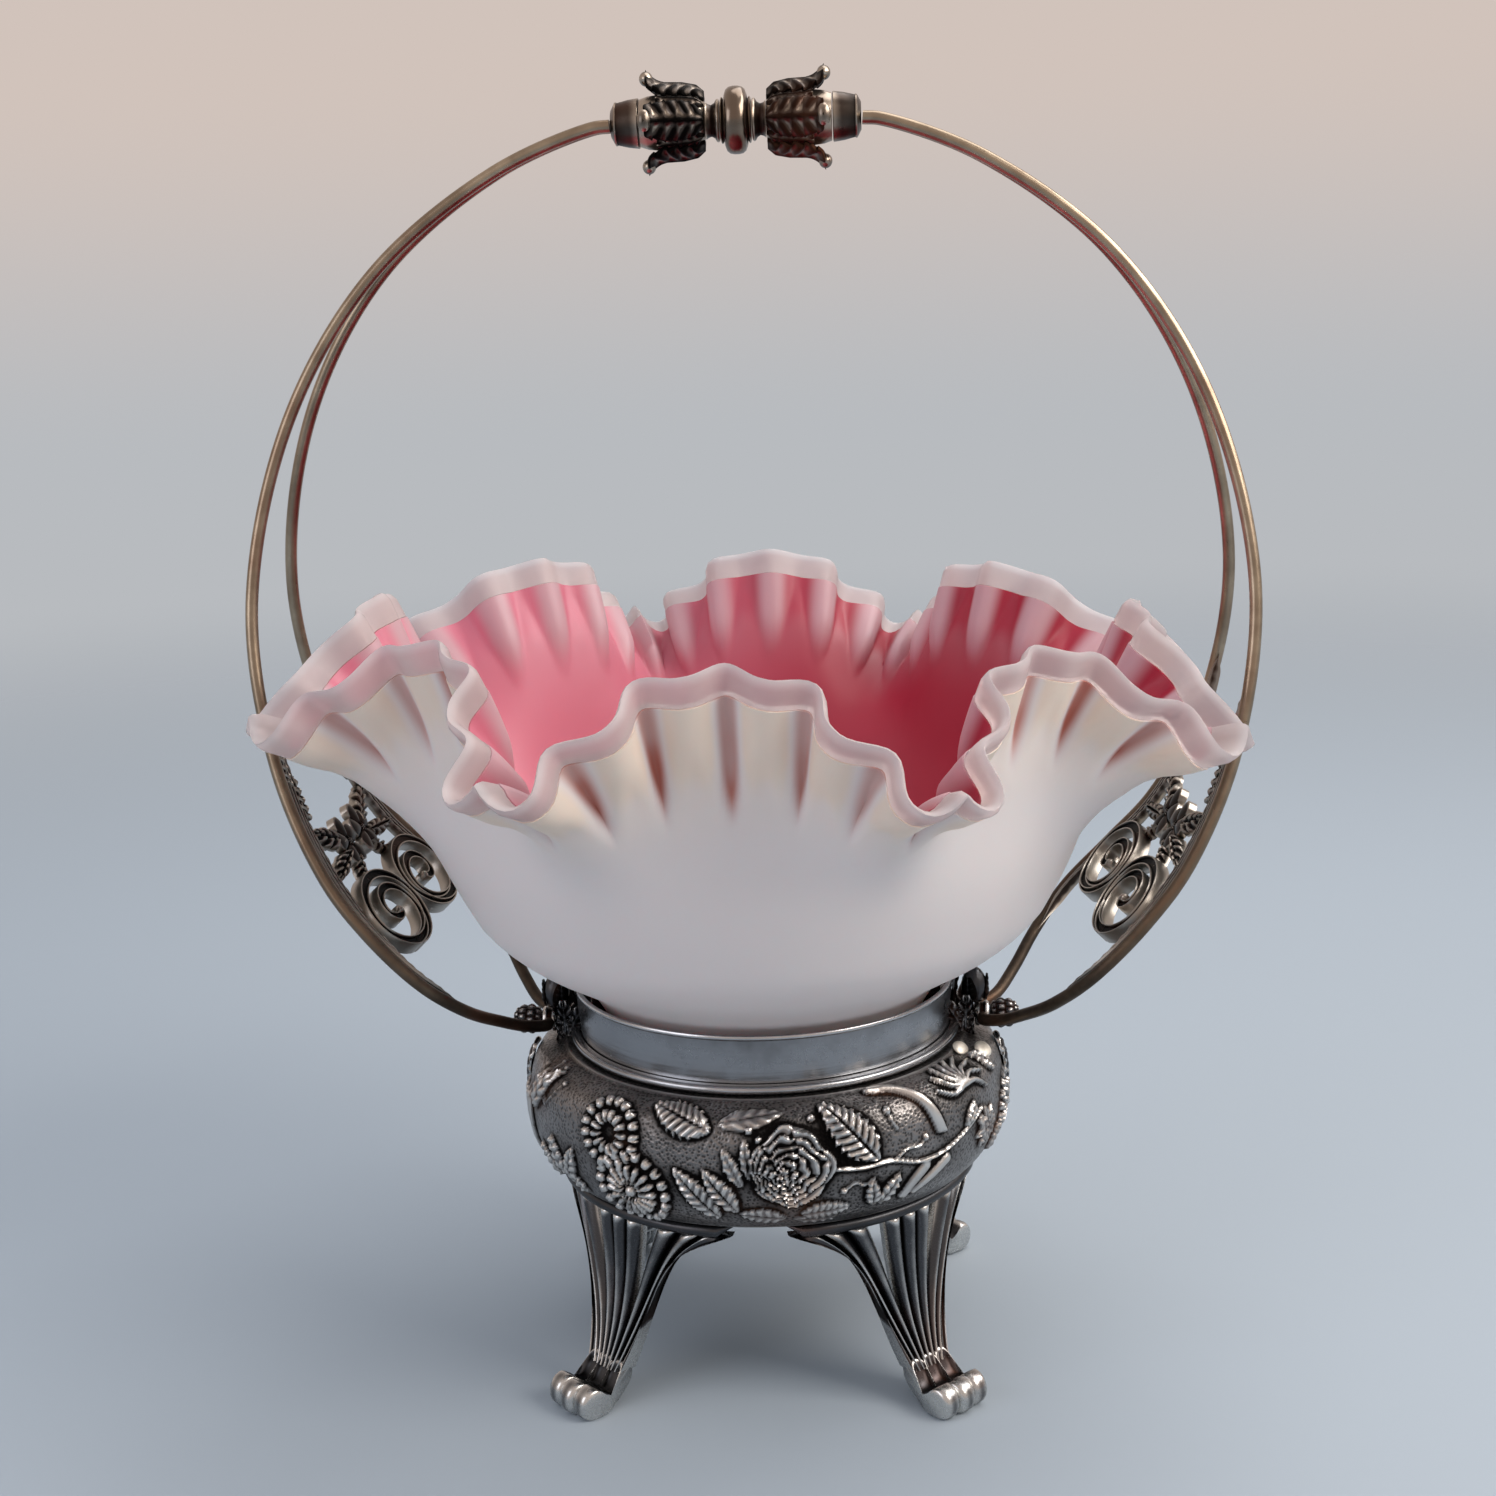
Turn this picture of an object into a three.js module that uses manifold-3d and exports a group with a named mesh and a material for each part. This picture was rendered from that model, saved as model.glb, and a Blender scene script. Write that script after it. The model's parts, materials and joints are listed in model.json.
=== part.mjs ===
// A brides basket: a footed silver-plated stand with a hoop handle, holding a ruffled bowl of cased glass.
// Millimetres, +Z up. The origin is on the table, under the middle of the stand. +X is the stand's right.
import * as THREE from 'three';
import { mergeVertices } from 'three/addons/utils/BufferGeometryUtils.js';
import Module from 'manifold-3d';

const wasm = await Module();
wasm.setup();

// Clearances
const joinGap = 0.3; // between two pieces that rest on each other or are soldered together
const pivotGap = 0.3; // between a pivot and its hole
const solderGap = 0.6; // between a cast panel and the bent wires beside it

// Legs
const legHeight = 49.9;
const legFanAngle = 37.5; // half of the angle that one leg covers along the lip
const legInset = 2.2; // from the lip's edge in to the ribs' heads
const legTaper = 1.15; // how fast the fan's middle narrows
const legSweep = 6.5; // how fast its edges draw in under the lip
const legSweepShare = 0.58; // the share of their width that they draw in there
const legFlare = 3.2; // how late the leg turns out to the ankle
const slotTopNear = 0.24; // where a slot starts and ends across half a fan, at the top
const slotTopFar = 0.39;
const slotEnd = 0.76; // how far down the leg the slots run
const ankleHeight = 9;
const ankleHalfWidth = 6.5;
const ribHeight = 1.9;
const ribGroove = 0.7;
const legBack = 2.1; // from the ribs' feet in to the leg's back
const ankleThickening = 1.5; // how much more of that there is at the ankle
const footReach = 6; // from under the lip out to the ankle
const toeLength = 12.8; // from the ankle out to the tip of the toes
const toeHeight = 8.4;
const toeTipRound = 2.8; // from the tip back to where the toe rests
const middleToeLead = 0.6;

// Drum and its rings
const lipRadius = 56.5;
const lipWidth = 6.5;
const lipHeight = 3.2;
const basePlateThickness = 1.2;
const drumFootRadius = 55.5;
const drumRadius = 64;
const drumHeight = 32.9;
const drumWall = 1.6;
const drumMouthRadius = 46;

// Collar
const collarRadius = 49.5; // outside, at its foot
const collarFlare = 1.5;
const collarHeight = 15.1;
const collarWall = 1.5;
const beadWidth = 2.5;
const beadHeight = 2.3;
const seatThickness = 1.2;

// Handle pivots
const bracketLength = 3.6;
const bracketRadius = 3.4;
const pivotRadius = 1.2;
const pivotHeight = 3; // above the top of the drum
const hubLength = 3.8;
const hubRadius = 3.4;
const knobRadius = 4.1;
const knobLength = 8;
const budRadius = 3.5;
const budHeight = 7.5;
const tabHalfWidth = 5;
const tabThickness = 1;
const leafHalfWidth = 4.4;
const leafThickness = 1.1;

// Hoop
const wireRadius = 1.6;
const wireSides = 6;
const wireStep = 10; // length of a straight stretch of it
const placesPerStep = 5; // places read from its curve for each stretch
const wireCuts = [0, 0.24, 0.42, 1]; // shares of a wire's run where its drawn lengths meet
const wireParts = ['lower', 'middle', 'upper'];
const hoopInset = 5.9; // how much narrower the hoop is than the bowl's notches, which it stands between
const hoopHeight = 233.4; // from the pivots up to the grip
const hoopSpread = 41; // how far the wires stand from the middle plane at their widest

// Grip
const beadRadius = 8.2;
const beadHalfLength = 3.8;
const neckRadius = 4.5;
const neckLength = 3.3;
const sleeveRadius = 8;
const sleeveLength = 16;
const sleeveFlare = 2.9;
const ferruleRadius = 5.9;
const ferruleLength = 7;
const ferruleEndRadius = 3.9;

// Side panels
const panelDepth = 2.6;
const scrollRise = 1.4; // how much deeper than the rails the scrolls stand
const scrollBand = 1.8;
const railWidth = 4.6;
const flowerRadius = 7.6;
const panelStart = 0.058; // where along the hoop's height the panels start and end
const panelEnd = 0.39;
const scrollPlace = 0.152; // where the scrolls and the flowers lie
const flowerPlace = 0.222;

// Bowl
const bowlWall = 3;
const footClearance = 12; // from the collar in to the bowl's foot
const waistClearance = 1.5; // from the collar's mouth in to the bowl's waist
const shoulderRadius = 85;
const shoulderHeight = 55;
const peakRadius = 100.5;
const peakHeight = 113.5;
const notchRadius = 131.5;
const notchHeight = 87;
const notchAngles = [-160, -115, -66.5, -24, 22.5, 65.5, 115, 159.5]; // degrees from the front
const crimpsPerLobe = 6;
const crimpDepth = 4.1;
const crimpTopShare = 0.55; // how deep the crimps are at a lobe's top, as a share of those at a notch
const crimpGrowth = 1.4; // how late between the two they get deeper
const edgeBandWidth = 6.5;
const edgeBandThickness = 2.6;
const notchSharpness = 1.9;
const peakBend = [4, 32]; // how far out and up from the shoulder the wall bends, under a peak
const notchBend = [14, 23]; // and under a notch
const crimpStart = 0.12; // where up the wall the crimps begin
const crimpRun = 0.75; // how much of the wall they take to reach their depth
const rimDip = 4; // how much lower the rim's right side lies than its middle

// Levels
const lipZ = legHeight + joinGap;
const drumZ = lipZ + lipHeight + joinGap;
const drumTopZ = drumZ + drumHeight;
const collarZ = drumTopZ + joinGap;
const collarTopZ = collarZ + collarHeight;
const seatTopZ = collarZ + seatThickness;
const bowlZ = seatTopZ + joinGap;
const pivotZ = drumTopZ + pivotHeight;
const gripZ = pivotZ + hoopHeight;
const hoopHalfWidth = notchRadius - hoopInset;

// Places along the handle's pivot line
const bracketX = collarRadius + beadWidth + 2 * joinGap;
const hubX = bracketX + bracketLength + joinGap;
const knobX = hubX + hubLength + joinGap;
const wireStartX = hubX + hubLength / 2;
const ferruleEndX = beadHalfLength + neckLength + sleeveLength + ferruleLength + 3 * joinGap;
const wireEndX = ferruleEndX + joinGap;

function finish(geometry) {
  geometry.deleteAttribute('normal');
  geometry.deleteAttribute('uv');
  const merged = mergeVertices(geometry, 1e-4);
  const position = merged.attributes.position;
  const corners = merged.index.array;
  const kept = [];
  let volume = 0;
  const a = new THREE.Vector3();
  const b = new THREE.Vector3();
  const c = new THREE.Vector3();
  for (let i = 0; i < corners.length; i += 3) {
    const [p, q, r] = [corners[i], corners[i + 1], corners[i + 2]];
    if (p === q || q === r || r === p) continue;
    a.fromBufferAttribute(position, p);
    b.fromBufferAttribute(position, q);
    c.fromBufferAttribute(position, r);
    volume += a.dot(b.clone().cross(c));
    kept.push([p, q, r]);
  }
  const outward = volume >= 0 ? kept : kept.map(([p, q, r]) => [p, r, q]);
  merged.setIndex(outward.flat());
  merged.computeVertexNormals();
  return merged;
}

function toSolid(geometry) {
  const closed = finish(geometry);
  return new wasm.Manifold(new wasm.Mesh({
    numProp: 3,
    vertProperties: new Float32Array(closed.attributes.position.array),
    triVerts: new Uint32Array(closed.index.array),
  }));
}

function toGeometry(solid) {
  const mesh = solid.getMesh();
  const geometry = new THREE.BufferGeometry();
  geometry.setAttribute('position', new THREE.BufferAttribute(new Float32Array(mesh.vertProperties), 3));
  geometry.setIndex(new THREE.BufferAttribute(new Uint32Array(mesh.triVerts), 1));
  geometry.computeVertexNormals();
  return geometry;
}

function union(geometries) {
  return toGeometry(geometries.map(toSolid).reduce((all, one) => all.add(one)));
}

// A turned piece about the Z axis. Its profile is a list of [radius, height].
function turned(profile, segments) {
  const geometry = new THREE.LatheGeometry(profile.map(([r, z]) => new THREE.Vector2(r, z)), segments);
  geometry.rotateX(Math.PI / 2);
  return finish(geometry);
}

// A turned piece about the X axis. Its profile is a list of [distance along X, radius].
function turnedAlongX(profile, segments) {
  const geometry = new THREE.LatheGeometry(profile.map(([x, r]) => new THREE.Vector2(r, x)), segments);
  geometry.rotateZ(-Math.PI / 2);
  return finish(geometry);
}

// An outline moved sideways by a distance, to its left as it is walked.
function offsetOutline(points, distance) {
  return points.map((point, i) => {
    const before = points[Math.max(i - 1, 0)];
    const after = points[Math.min(i + 1, points.length - 1)];
    const run = new THREE.Vector2(after[0] - before[0], after[1] - before[1]).normalize();
    return [point[0] - run.y * distance, point[1] + run.x * distance];
  });
}

// A solid through rings of points that match one to one, closed at both ends.
function lofted(rings, outline) {
  const count = outline.length;
  const position = rings.flat().flatMap((p) => [p.x, p.y, p.z]);
  const index = [];
  for (let k = 0; k + 1 < rings.length; k += 1) {
    for (let i = 0; i < count; i += 1) {
      const j = (i + 1) % count;
      const [low, high] = [k * count, (k + 1) * count];
      index.push(low + i, low + j, high + j, low + i, high + j, high + i);
    }
  }
  const top = (rings.length - 1) * count;
  for (const [a, b, c] of THREE.ShapeUtils.triangulateShape(outline, [])) {
    const winding = THREE.ShapeUtils.isClockWise(outline) ? [a, b, c] : [a, c, b];
    index.push(...winding);
    index.push(top + winding[0], top + winding[2], top + winding[1]);
  }
  const geometry = new THREE.BufferGeometry();
  geometry.setAttribute('position', new THREE.Float32BufferAttribute(position, 3));
  geometry.setIndex(index);
  return finish(geometry);
}

// A thin plate that follows a surface: place(u, v, height) gives its points, u and v from 0 to 1.
function plate(place, across, along, thickness) {
  const outline = [];
  for (let i = 0; i <= across; i += 1) outline.push([i / across, thickness]);
  for (let i = across; i >= 0; i -= 1) outline.push([i / across, 0]);
  const rings = [];
  for (let k = 0; k <= along; k += 1) {
    rings.push(outline.map(([u, height]) => place(u, k / along, height)));
  }
  return lofted(rings, outline.map(([u, height]) => new THREE.Vector2(u, height)));
}

function prism(points, low, high) {
  const shape = new THREE.Shape(points.map(([x, y]) => new THREE.Vector2(x, y)));
  const geometry = new THREE.ExtrudeGeometry(shape, { depth: high - low, bevelEnabled: false, steps: 1 });
  geometry.translate(0, 0, low);
  return geometry;
}

function smooth(t) {
  const k = Math.min(Math.max(t, 0), 1);
  return k * k * (3 - 2 * k);
}

function mix(from, to, share) {
  return from + (to - from) * share;
}

function metal(color, roughness) {
  return new THREE.MeshStandardMaterial({ color, roughness, metalness: 1 });
}

function glass(color) {
  return new THREE.MeshStandardMaterial({ color, roughness: 0.45, metalness: 0 });
}

function piece(name, geometry, material) {
  const mesh = new THREE.Mesh(geometry, material);
  mesh.name = name;
  return mesh;
}

// Legs. A leg is made in a frame of its own: X runs out along the leg, Y across it.

// A point of the fan of ribs: across runs from -1 to 1, down from 0 at the lip to 1 at the ankle. The fan
// follows a drum of the lip's size, which flares out over the foot.
function legPoint(across, down, height) {
  const topRadius = lipRadius - legInset;
  const topWidth = topRadius * Math.sin(THREE.MathUtils.degToRad(legFanAngle) * across);
  const straight = (1 - down) ** legTaper;
  const swept = (1 - legSweepShare) * (1 - down) + legSweepShare * (1 - down) ** legSweep;
  const sweep = mix(straight, swept, Math.abs(across) ** 3);
  const lateral = mix(ankleHalfWidth * across, topWidth, sweep);
  const radius = topRadius + footReach * down ** legFlare;
  const bearing = Math.asin(lateral / radius);
  const reach = radius + height - ribHeight;
  return new THREE.Vector3(
    reach * Math.cos(bearing),
    reach * Math.sin(bearing),
    mix(legHeight, ankleHeight, down),
  );
}

// Three ribs side by side, between two edges that may draw together on the way down.
function ribGroup(nearEdge, farEdge) {
  const front = [0, 1, 2, 3, 4, 5, 6].map((i) => [i / 6, i % 2 ? ribHeight : ribGroove]);
  const outlineAt = (down) => {
    const back = -legBack - ankleThickening * down ** 4;
    return [...front, [1, back], [0.5, back], [0, back]];
  };
  const stations = [0, 0.06, 0.15, 0.3, 0.52, slotEnd, 0.9, 1];
  const rings = stations.map((down) => outlineAt(down).map(([share, height]) => (
    legPoint(mix(nearEdge(down), farEdge(down), share), down, height)
  )));
  return lofted(rings, outlineAt(0).map(([share, height]) => new THREE.Vector2(share * 10, height)));
}

// One toe: a scroll that rolls over at its tip and rests flat underneath. Its back sweeps up to the leg's.
function toe(offset, lead) {
  const ankle = lipRadius - legInset + footReach;
  const tip = ankle + toeLength + lead;
  const back = ankle - ribHeight - legBack - ankleThickening;
  const top = ankleHeight + 1.6;
  const outline = [
    [back - 0.2, top], [back + 0.5, ankleHeight * 0.76], [back + 2.6, ankleHeight * 0.49],
    [back + 5.4, ankleHeight * 0.22], [back + 8.7, 0], [tip - toeTipRound, 0], [tip - 0.6, toeHeight * 0.19],
    [tip, toeHeight * 0.55], [tip - 1, toeHeight * 0.83], [tip - 3.8, toeHeight],
    [ankle + 5.3, toeHeight * 0.97], [ankle + 2.3, toeHeight * 1.04], [ankle + 0.2, top],
  ];
  const width = (2 * ankleHalfWidth) / 3;
  const overlap = 0.06;
  const geometry = prism(outline, -width / 2 - overlap, width / 2 + overlap);
  geometry.rotateX(Math.PI / 2);
  geometry.translate(0, offset * width, 0);
  return geometry;
}

function legGeometry() {
  const closing = (down) => Math.min(down / slotEnd, 1);
  const meet = (slotTopNear + slotTopFar) / 2;
  const overlap = 0.008;
  const near = (down) => mix(slotTopNear, meet + overlap, closing(down));
  const far = (down) => mix(slotTopFar, meet - overlap, closing(down));
  return union([
    ribGroup((down) => -near(down), near),
    ribGroup(far, () => 1),
    ribGroup(() => -1, (down) => -far(down)),
    toe(-1, 0),
    toe(0, middleToeLead),
    toe(1, 0),
  ]);
}

function makeLegs() {
  const group = new THREE.Group();
  const names = { leg_front_right: -45, leg_back_right: 45, leg_back_left: 135, leg_front_left: -135 };
  for (const [name, angle] of Object.entries(names)) {
    const leg = piece(name, legGeometry(), metal(0x6e6c6a, 0.35));
    leg.rotation.z = THREE.MathUtils.degToRad(angle);
    group.add(leg);
  }
  return group;
}

// Drum

// The drum's outside, from its foot up to its mouth.
function drumOutline() {
  const rising = [[0, 0], [0.47, 0.09], [0.83, 0.26], [0.98, 0.45], [1, 0.6]];
  const falling = [[0.94, 0.78], [0.76, 0.9], [0.42, 0.965], [0, 1]];
  const shoulder = bracketX;
  return [
    ...rising.map(([share, up]) => [mix(drumFootRadius, drumRadius, share), drumZ + drumHeight * up]),
    ...falling.map(([share, up]) => [mix(shoulder, drumRadius, share), drumZ + drumHeight * up]),
    [drumMouthRadius, drumTopZ],
  ];
}

function drumShell() {
  const outside = drumOutline();
  const inside = offsetOutline(outside, drumWall).filter((point, i) => i % 2);
  inside.unshift([outside[0][0] - drumWall, drumZ]);
  inside[inside.length - 1] = [drumMouthRadius, drumTopZ - drumWall];
  return turned([...outside, ...inside.reverse(), outside[0]], 36);
}

// A ring of square section whose outer edges are eased.
function ring(inner, outer, low, high) {
  const ease = Math.min(outer - inner, high - low) * 0.3;
  return turned([
    [inner, low], [outer - ease, low], [outer, low + ease], [outer, high - ease], [outer - ease, high],
    [inner, high], [inner, low],
  ], 36);
}

function disc(radius, low, high, segments) {
  return turned([[0, low], [radius, low], [radius, high], [0, high]], segments);
}

function makeDrum() {
  const group = new THREE.Group();
  const lipInner = lipRadius - lipWidth;
  const plateZ = lipZ + (lipHeight - basePlateThickness) / 2;
  group.add(
    piece('drum_shell', drumShell(), metal(0x5f5c5b, 0.4)),
    piece('bottom_lip_ring', ring(lipInner, lipRadius, lipZ, lipZ + lipHeight), metal(0x747270, 0.35)),
    piece(
      'base_plate',
      disc(lipInner - joinGap, plateZ, plateZ + basePlateThickness, 36),
      metal(0x6a6764, 0.5),
    ),
  );
  return group;
}

// Collar

function collarBand() {
  const mouth = collarRadius + collarFlare;
  return turned([
    [collarRadius - collarWall, collarZ], [collarRadius, collarZ],
    [mouth - 0.3, collarTopZ - 0.6], [mouth, collarTopZ], [mouth - collarWall, collarTopZ],
    [collarRadius - collarWall, collarZ],
  ], 40);
}

function makeCollar() {
  const group = new THREE.Group();
  const beadInner = collarRadius + collarFlare * (beadHeight / collarHeight) + joinGap;
  const seatRadius = collarRadius - collarWall - joinGap;
  group.add(
    piece('collar_band', collarBand(), metal(0x8f9194, 0.28)),
    piece(
      'collar_foot_ring',
      ring(beadInner, collarRadius + joinGap + beadWidth, collarZ, collarZ + beadHeight),
      metal(0x7c7a78, 0.3),
    ),
    piece('bowl_seat', disc(seatRadius, collarZ, seatTopZ, 36), metal(0x6a6764, 0.5)),
  );
  return group;
}

// Brackets that carry the handle, made for the right side

function bracketBody() {
  const arch = new THREE.Shape();
  const low = collarZ - pivotZ;
  arch.moveTo(-bracketRadius - 0.8, low);
  arch.lineTo(bracketRadius + 0.8, low);
  arch.lineTo(bracketRadius, 0);
  arch.absarc(0, 0, bracketRadius, 0, Math.PI, false);
  arch.lineTo(-bracketRadius - 0.8, low);
  const hole = new THREE.Path();
  hole.absarc(0, 0, pivotRadius + pivotGap, 0, 2 * Math.PI, false);
  arch.holes.push(hole);
  const geometry = new THREE.ExtrudeGeometry(arch, {
    depth: bracketLength, bevelEnabled: false, steps: 1, curveSegments: 8,
  });
  geometry.rotateX(Math.PI / 2);
  geometry.rotateZ(Math.PI / 2);
  geometry.translate(bracketX, 0, pivotZ);
  return finish(geometry);
}

function bracketBud() {
  const outline = [[0, 0], [0.7, 0], [1, 0.38], [0.92, 0.66], [0.55, 0.9], [0, 1]];
  const geometry = turned(outline.map(([r, z]) => [r * budRadius, z * budHeight]), 14);
  const foot = pivotZ + Math.max(bracketRadius, hubRadius) + joinGap;
  geometry.translate(bracketX + budRadius + joinGap, 0, foot);
  return geometry;
}

// The tab that laps the outside of the collar beside the bud.
function collarTab() {
  const low = collarZ + beadHeight + joinGap;
  return finish(plate((u, v, height) => {
    const z = mix(low, collarTopZ - 0.5, v);
    const face = collarRadius + collarFlare * ((z - collarZ) / collarHeight) + joinGap;
    const angle = (((u * 2 - 1) * tabHalfWidth) / collarRadius) * mix(1, 0.55, v ** 3);
    return new THREE.Vector3((face + height) * Math.cos(angle), (face + height) * Math.sin(angle), z);
  }, 4, 4, tabThickness));
}

// The leaf that hangs down the drum under the knob.
function shoulderLeaf() {
  const outline = drumOutline();
  const outside = offsetOutline(outline, -joinGap);
  const path = outside.slice(3, 7).reverse();
  const widths = [0.5, 1, 0.75, 0.12];
  return plate((u, v, height) => {
    const at = Math.round(v * (path.length - 1));
    const [r, z] = path[at];
    const before = path[Math.max(at - 1, 0)];
    const after = path[Math.min(at + 1, path.length - 1)];
    const run = new THREE.Vector2(after[0] - before[0], after[1] - before[1]).normalize();
    const angle = ((u * 2 - 1) * leafHalfWidth * widths[at]) / r;
    const radius = r - run.y * height + (1 / Math.cos(Math.PI / 36) - 1) * r;
    return new THREE.Vector3(radius * Math.cos(angle), radius * Math.sin(angle), z + run.x * height);
  }, 4, path.length - 1, leafThickness);
}

function handleHub() {
  const start = bracketX + joinGap;
  return turnedAlongX([
    [start, 0], [start, pivotRadius], [hubX, pivotRadius], [hubX, hubRadius],
    [hubX + hubLength, hubRadius], [hubX + hubLength, 0],
  ], 12);
}

function flowerKnob() {
  const outline = [[0, 0], [0, 0.5], [0.1, 0.78], [0.32, 1], [0.62, 1], [0.86, 0.78], [0.97, 0.36], [1, 0]];
  return turnedAlongX(outline.map(([x, r]) => [x * knobLength, r * knobRadius]), 14);
}

function makePivots(side) {
  const hub = piece(`handle_hub_${side}`, handleHub(), metal(0x6b6259, 0.35));
  const knob = piece(`flower_knob_${side}`, flowerKnob(), metal(0x5d554d, 0.5));
  hub.position.z = pivotZ;
  knob.position.set(knobX, 0, pivotZ);
  return [
    piece(`bracket_${side}`, bracketBody(), metal(0x55504c, 0.45)),
    piece(`bracket_bud_${side}`, bracketBud(), metal(0x55504c, 0.4)),
    piece(`collar_tab_${side}`, collarTab(), metal(0x55504c, 0.45)),
    piece(`shoulder_leaf_${side}`, shoulderLeaf(), metal(0x5c5854, 0.45)),
    hub,
    knob,
  ];
}

// Hoop wires, made for the right side. spread is 1 for the back wire and -1 for the front one.

function hoopCurve(spread) {
  const low = [
    [0, 0, 0], [0.004, 0.001, 0.07], [0.07, 0.008, 0.2], [0.145, 0.026, 0.42], [0.25, 0.058, 0.76],
    [0.39, 0.102, 1], [0.575, 0.158, 1], [0.742, 0.218, 0.88], [0.925, 0.336, 0.66], [1, 0.507, 0.44],
  ];
  const high = [
    [0.885, 0.702, 0.25], [0.645, 0.853, 0.1], [0.31, 0.955, 0.02], [0.05, 0.996, 0], [0, 0.998, 0],
  ];
  const hubSide = hubRadius + joinGap;
  const pairSide = wireRadius + joinGap;
  const points = [
    ...low.map(([x, z, y]) => new THREE.Vector3(
      mix(wireStartX, hoopHalfWidth, x),
      spread * mix(hubSide, hoopSpread, y),
      mix(pivotZ, gripZ, z),
    )),
    ...high.map(([x, z, y]) => new THREE.Vector3(
      mix(wireEndX, hoopHalfWidth, x),
      spread * mix(pairSide, hoopSpread, y),
      mix(pivotZ, gripZ, z),
    )),
  ];
  return new THREE.CatmullRomCurve3(points, false, 'centripetal');
}

// One drawn length of a wire, from start to end as shares of its run.
function wireGeometry(spread, start, end) {
  const section = [];
  for (let i = 0; i < wireSides; i += 1) {
    const angle = (2 * Math.PI * i) / wireSides;
    section.push(new THREE.Vector2(wireRadius * Math.cos(angle), wireRadius * Math.sin(angle)));
  }
  const curve = hoopCurve(spread);
  const run = curve.getLength();
  const first = start === 0 ? 0 : start + joinGap / 2 / run;
  const last = end === 1 ? 1 : end - joinGap / 2 / run;
  const steps = Math.round(((last - first) * run) / wireStep);
  const places = steps * placesPerStep;
  const points = [];
  for (let i = 0; i <= places; i += 1) {
    points.push(curve.getPointAt(mix(first, last, i / places)));
  }
  return finish(new THREE.ExtrudeGeometry(new THREE.Shape(section), {
    steps, bevelEnabled: false, extrudePath: new THREE.CatmullRomCurve3(points, false, 'centripetal'),
  }));
}

// A real wire is bent from one length. It is drawn as three, each of them a simpler shape.
function makeWire(name, spread) {
  return wireParts.map((part, i) => {
    const geometry = wireGeometry(spread, wireCuts[i], wireCuts[i + 1]);
    return piece(`${name}_${part}`, geometry, metal(0x7b6a57, 0.28));
  });
}

// Side panels, made for the right side. A panel is cut flat, as (run along the hoop, across, depth),
// and then bent to lie between the two wires.

function hoopStations() {
  const curve = hoopCurve(1);
  const stations = [];
  let run = 0;
  let before = null;
  for (let i = 0; i <= 240; i += 1) {
    const point = curve.getPoint(i / 240);
    if (before) run += Math.hypot(point.x - before.x, point.z - before.z);
    stations.push({ run, x: point.x, z: point.z, spread: point.y });
    before = point;
  }
  return stations;
}

function stationAt(stations, run) {
  const index = Math.min(Math.max(stations.findIndex((s) => s.run >= run), 1), stations.length - 1);
  const [from, to] = [stations[index - 1], stations[index]];
  const length = to.run - from.run;
  const share = (run - from.run) / length;
  return {
    x: mix(from.x, to.x, share),
    z: mix(from.z, to.z, share),
    spread: mix(from.spread, to.spread, share),
    slope: (to.spread - from.spread) / length,
    tangentX: (to.x - from.x) / length,
    tangentZ: (to.z - from.z) / length,
  };
}

// A rail lies beside its wire. It swells into a leaf and tapers to a tip at both ends.
function rail(stations, start, end, side) {
  const swell = [0.3, 0.55, 0.4, 0.75, 1, 1, 0.9, 1.15, 0.7, 0.3];
  const outer = [];
  const inner = [];
  swell.forEach((share, i) => {
    const run = mix(start, end, i / (swell.length - 1));
    const { spread, slope } = stationAt(stations, run);
    const lean = Math.hypot(1, slope);
    const edge = spread - (wireRadius + solderGap) * lean;
    outer.push([run, side * edge]);
    inner.push([run, side * (edge - railWidth * share * lean)]);
  });
  return prism([...outer, ...inner.reverse()], -panelDepth / 2, panelDepth / 2);
}

function ellipse(centreRun, centreAcross, radiusRun, radiusAcross, count) {
  const points = [];
  for (let i = 0; i < count; i += 1) {
    const angle = (2 * Math.PI * i) / count;
    points.push([centreRun + radiusRun * Math.cos(angle), centreAcross + radiusAcross * Math.sin(angle)]);
  }
  return points;
}

// A volute: a ring with a tongue that curls in from it to the middle.
function scroll(run, across, radiusRun, radiusAcross, side) {
  const [low, high] = [-panelDepth / 2, panelDepth / 2 + scrollRise];
  const outer = prism(ellipse(run, across, radiusRun, radiusAcross, 18), low, high);
  const bore = ellipse(run, across, radiusRun - scrollBand, radiusAcross - scrollBand, 18);
  const hoop = toSolid(outer).subtract(toSolid(prism(bore, low - 1, high + 1)));
  const outerSide = [];
  const innerSide = [];
  for (let i = 0; i <= 11; i += 1) {
    const share = i / 11;
    const angle = Math.PI * (0.9 + 1.75 * share);
    const reach = mix(0.93, 0.22, share ** 0.8);
    const half = mix(scrollBand, scrollBand * 0.8, share) / 2;
    const [c, s] = [Math.cos(angle), side * Math.sin(angle)];
    outerSide.push([run + (radiusRun * reach + half) * c, across + (radiusAcross * reach + half) * s]);
    innerSide.push([run + (radiusRun * reach - half) * c, across + (radiusAcross * reach - half) * s]);
  }
  const tongue = prism([...outerSide, ...innerSide.reverse()], low, high - scrollRise / 2);
  return hoop.add(toSolid(tongue));
}

function flower(run, across) {
  const petals = [];
  for (let i = 0; i < 20; i += 1) {
    const angle = (2 * Math.PI * i) / 20;
    const reach = flowerRadius * (i % 4 === 0 ? 0.56 : 1 - 0.06 * Math.abs((i % 4) - 2));
    petals.push([run + reach * Math.cos(angle), across + reach * Math.sin(angle)]);
  }
  const heart = ellipse(run, across, flowerRadius * 0.24, flowerRadius * 0.24, 8);
  const low = -panelDepth / 2;
  return toSolid(prism(petals, low, panelDepth / 2)).add(toSolid(prism(heart, low, panelDepth)));
}

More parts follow.
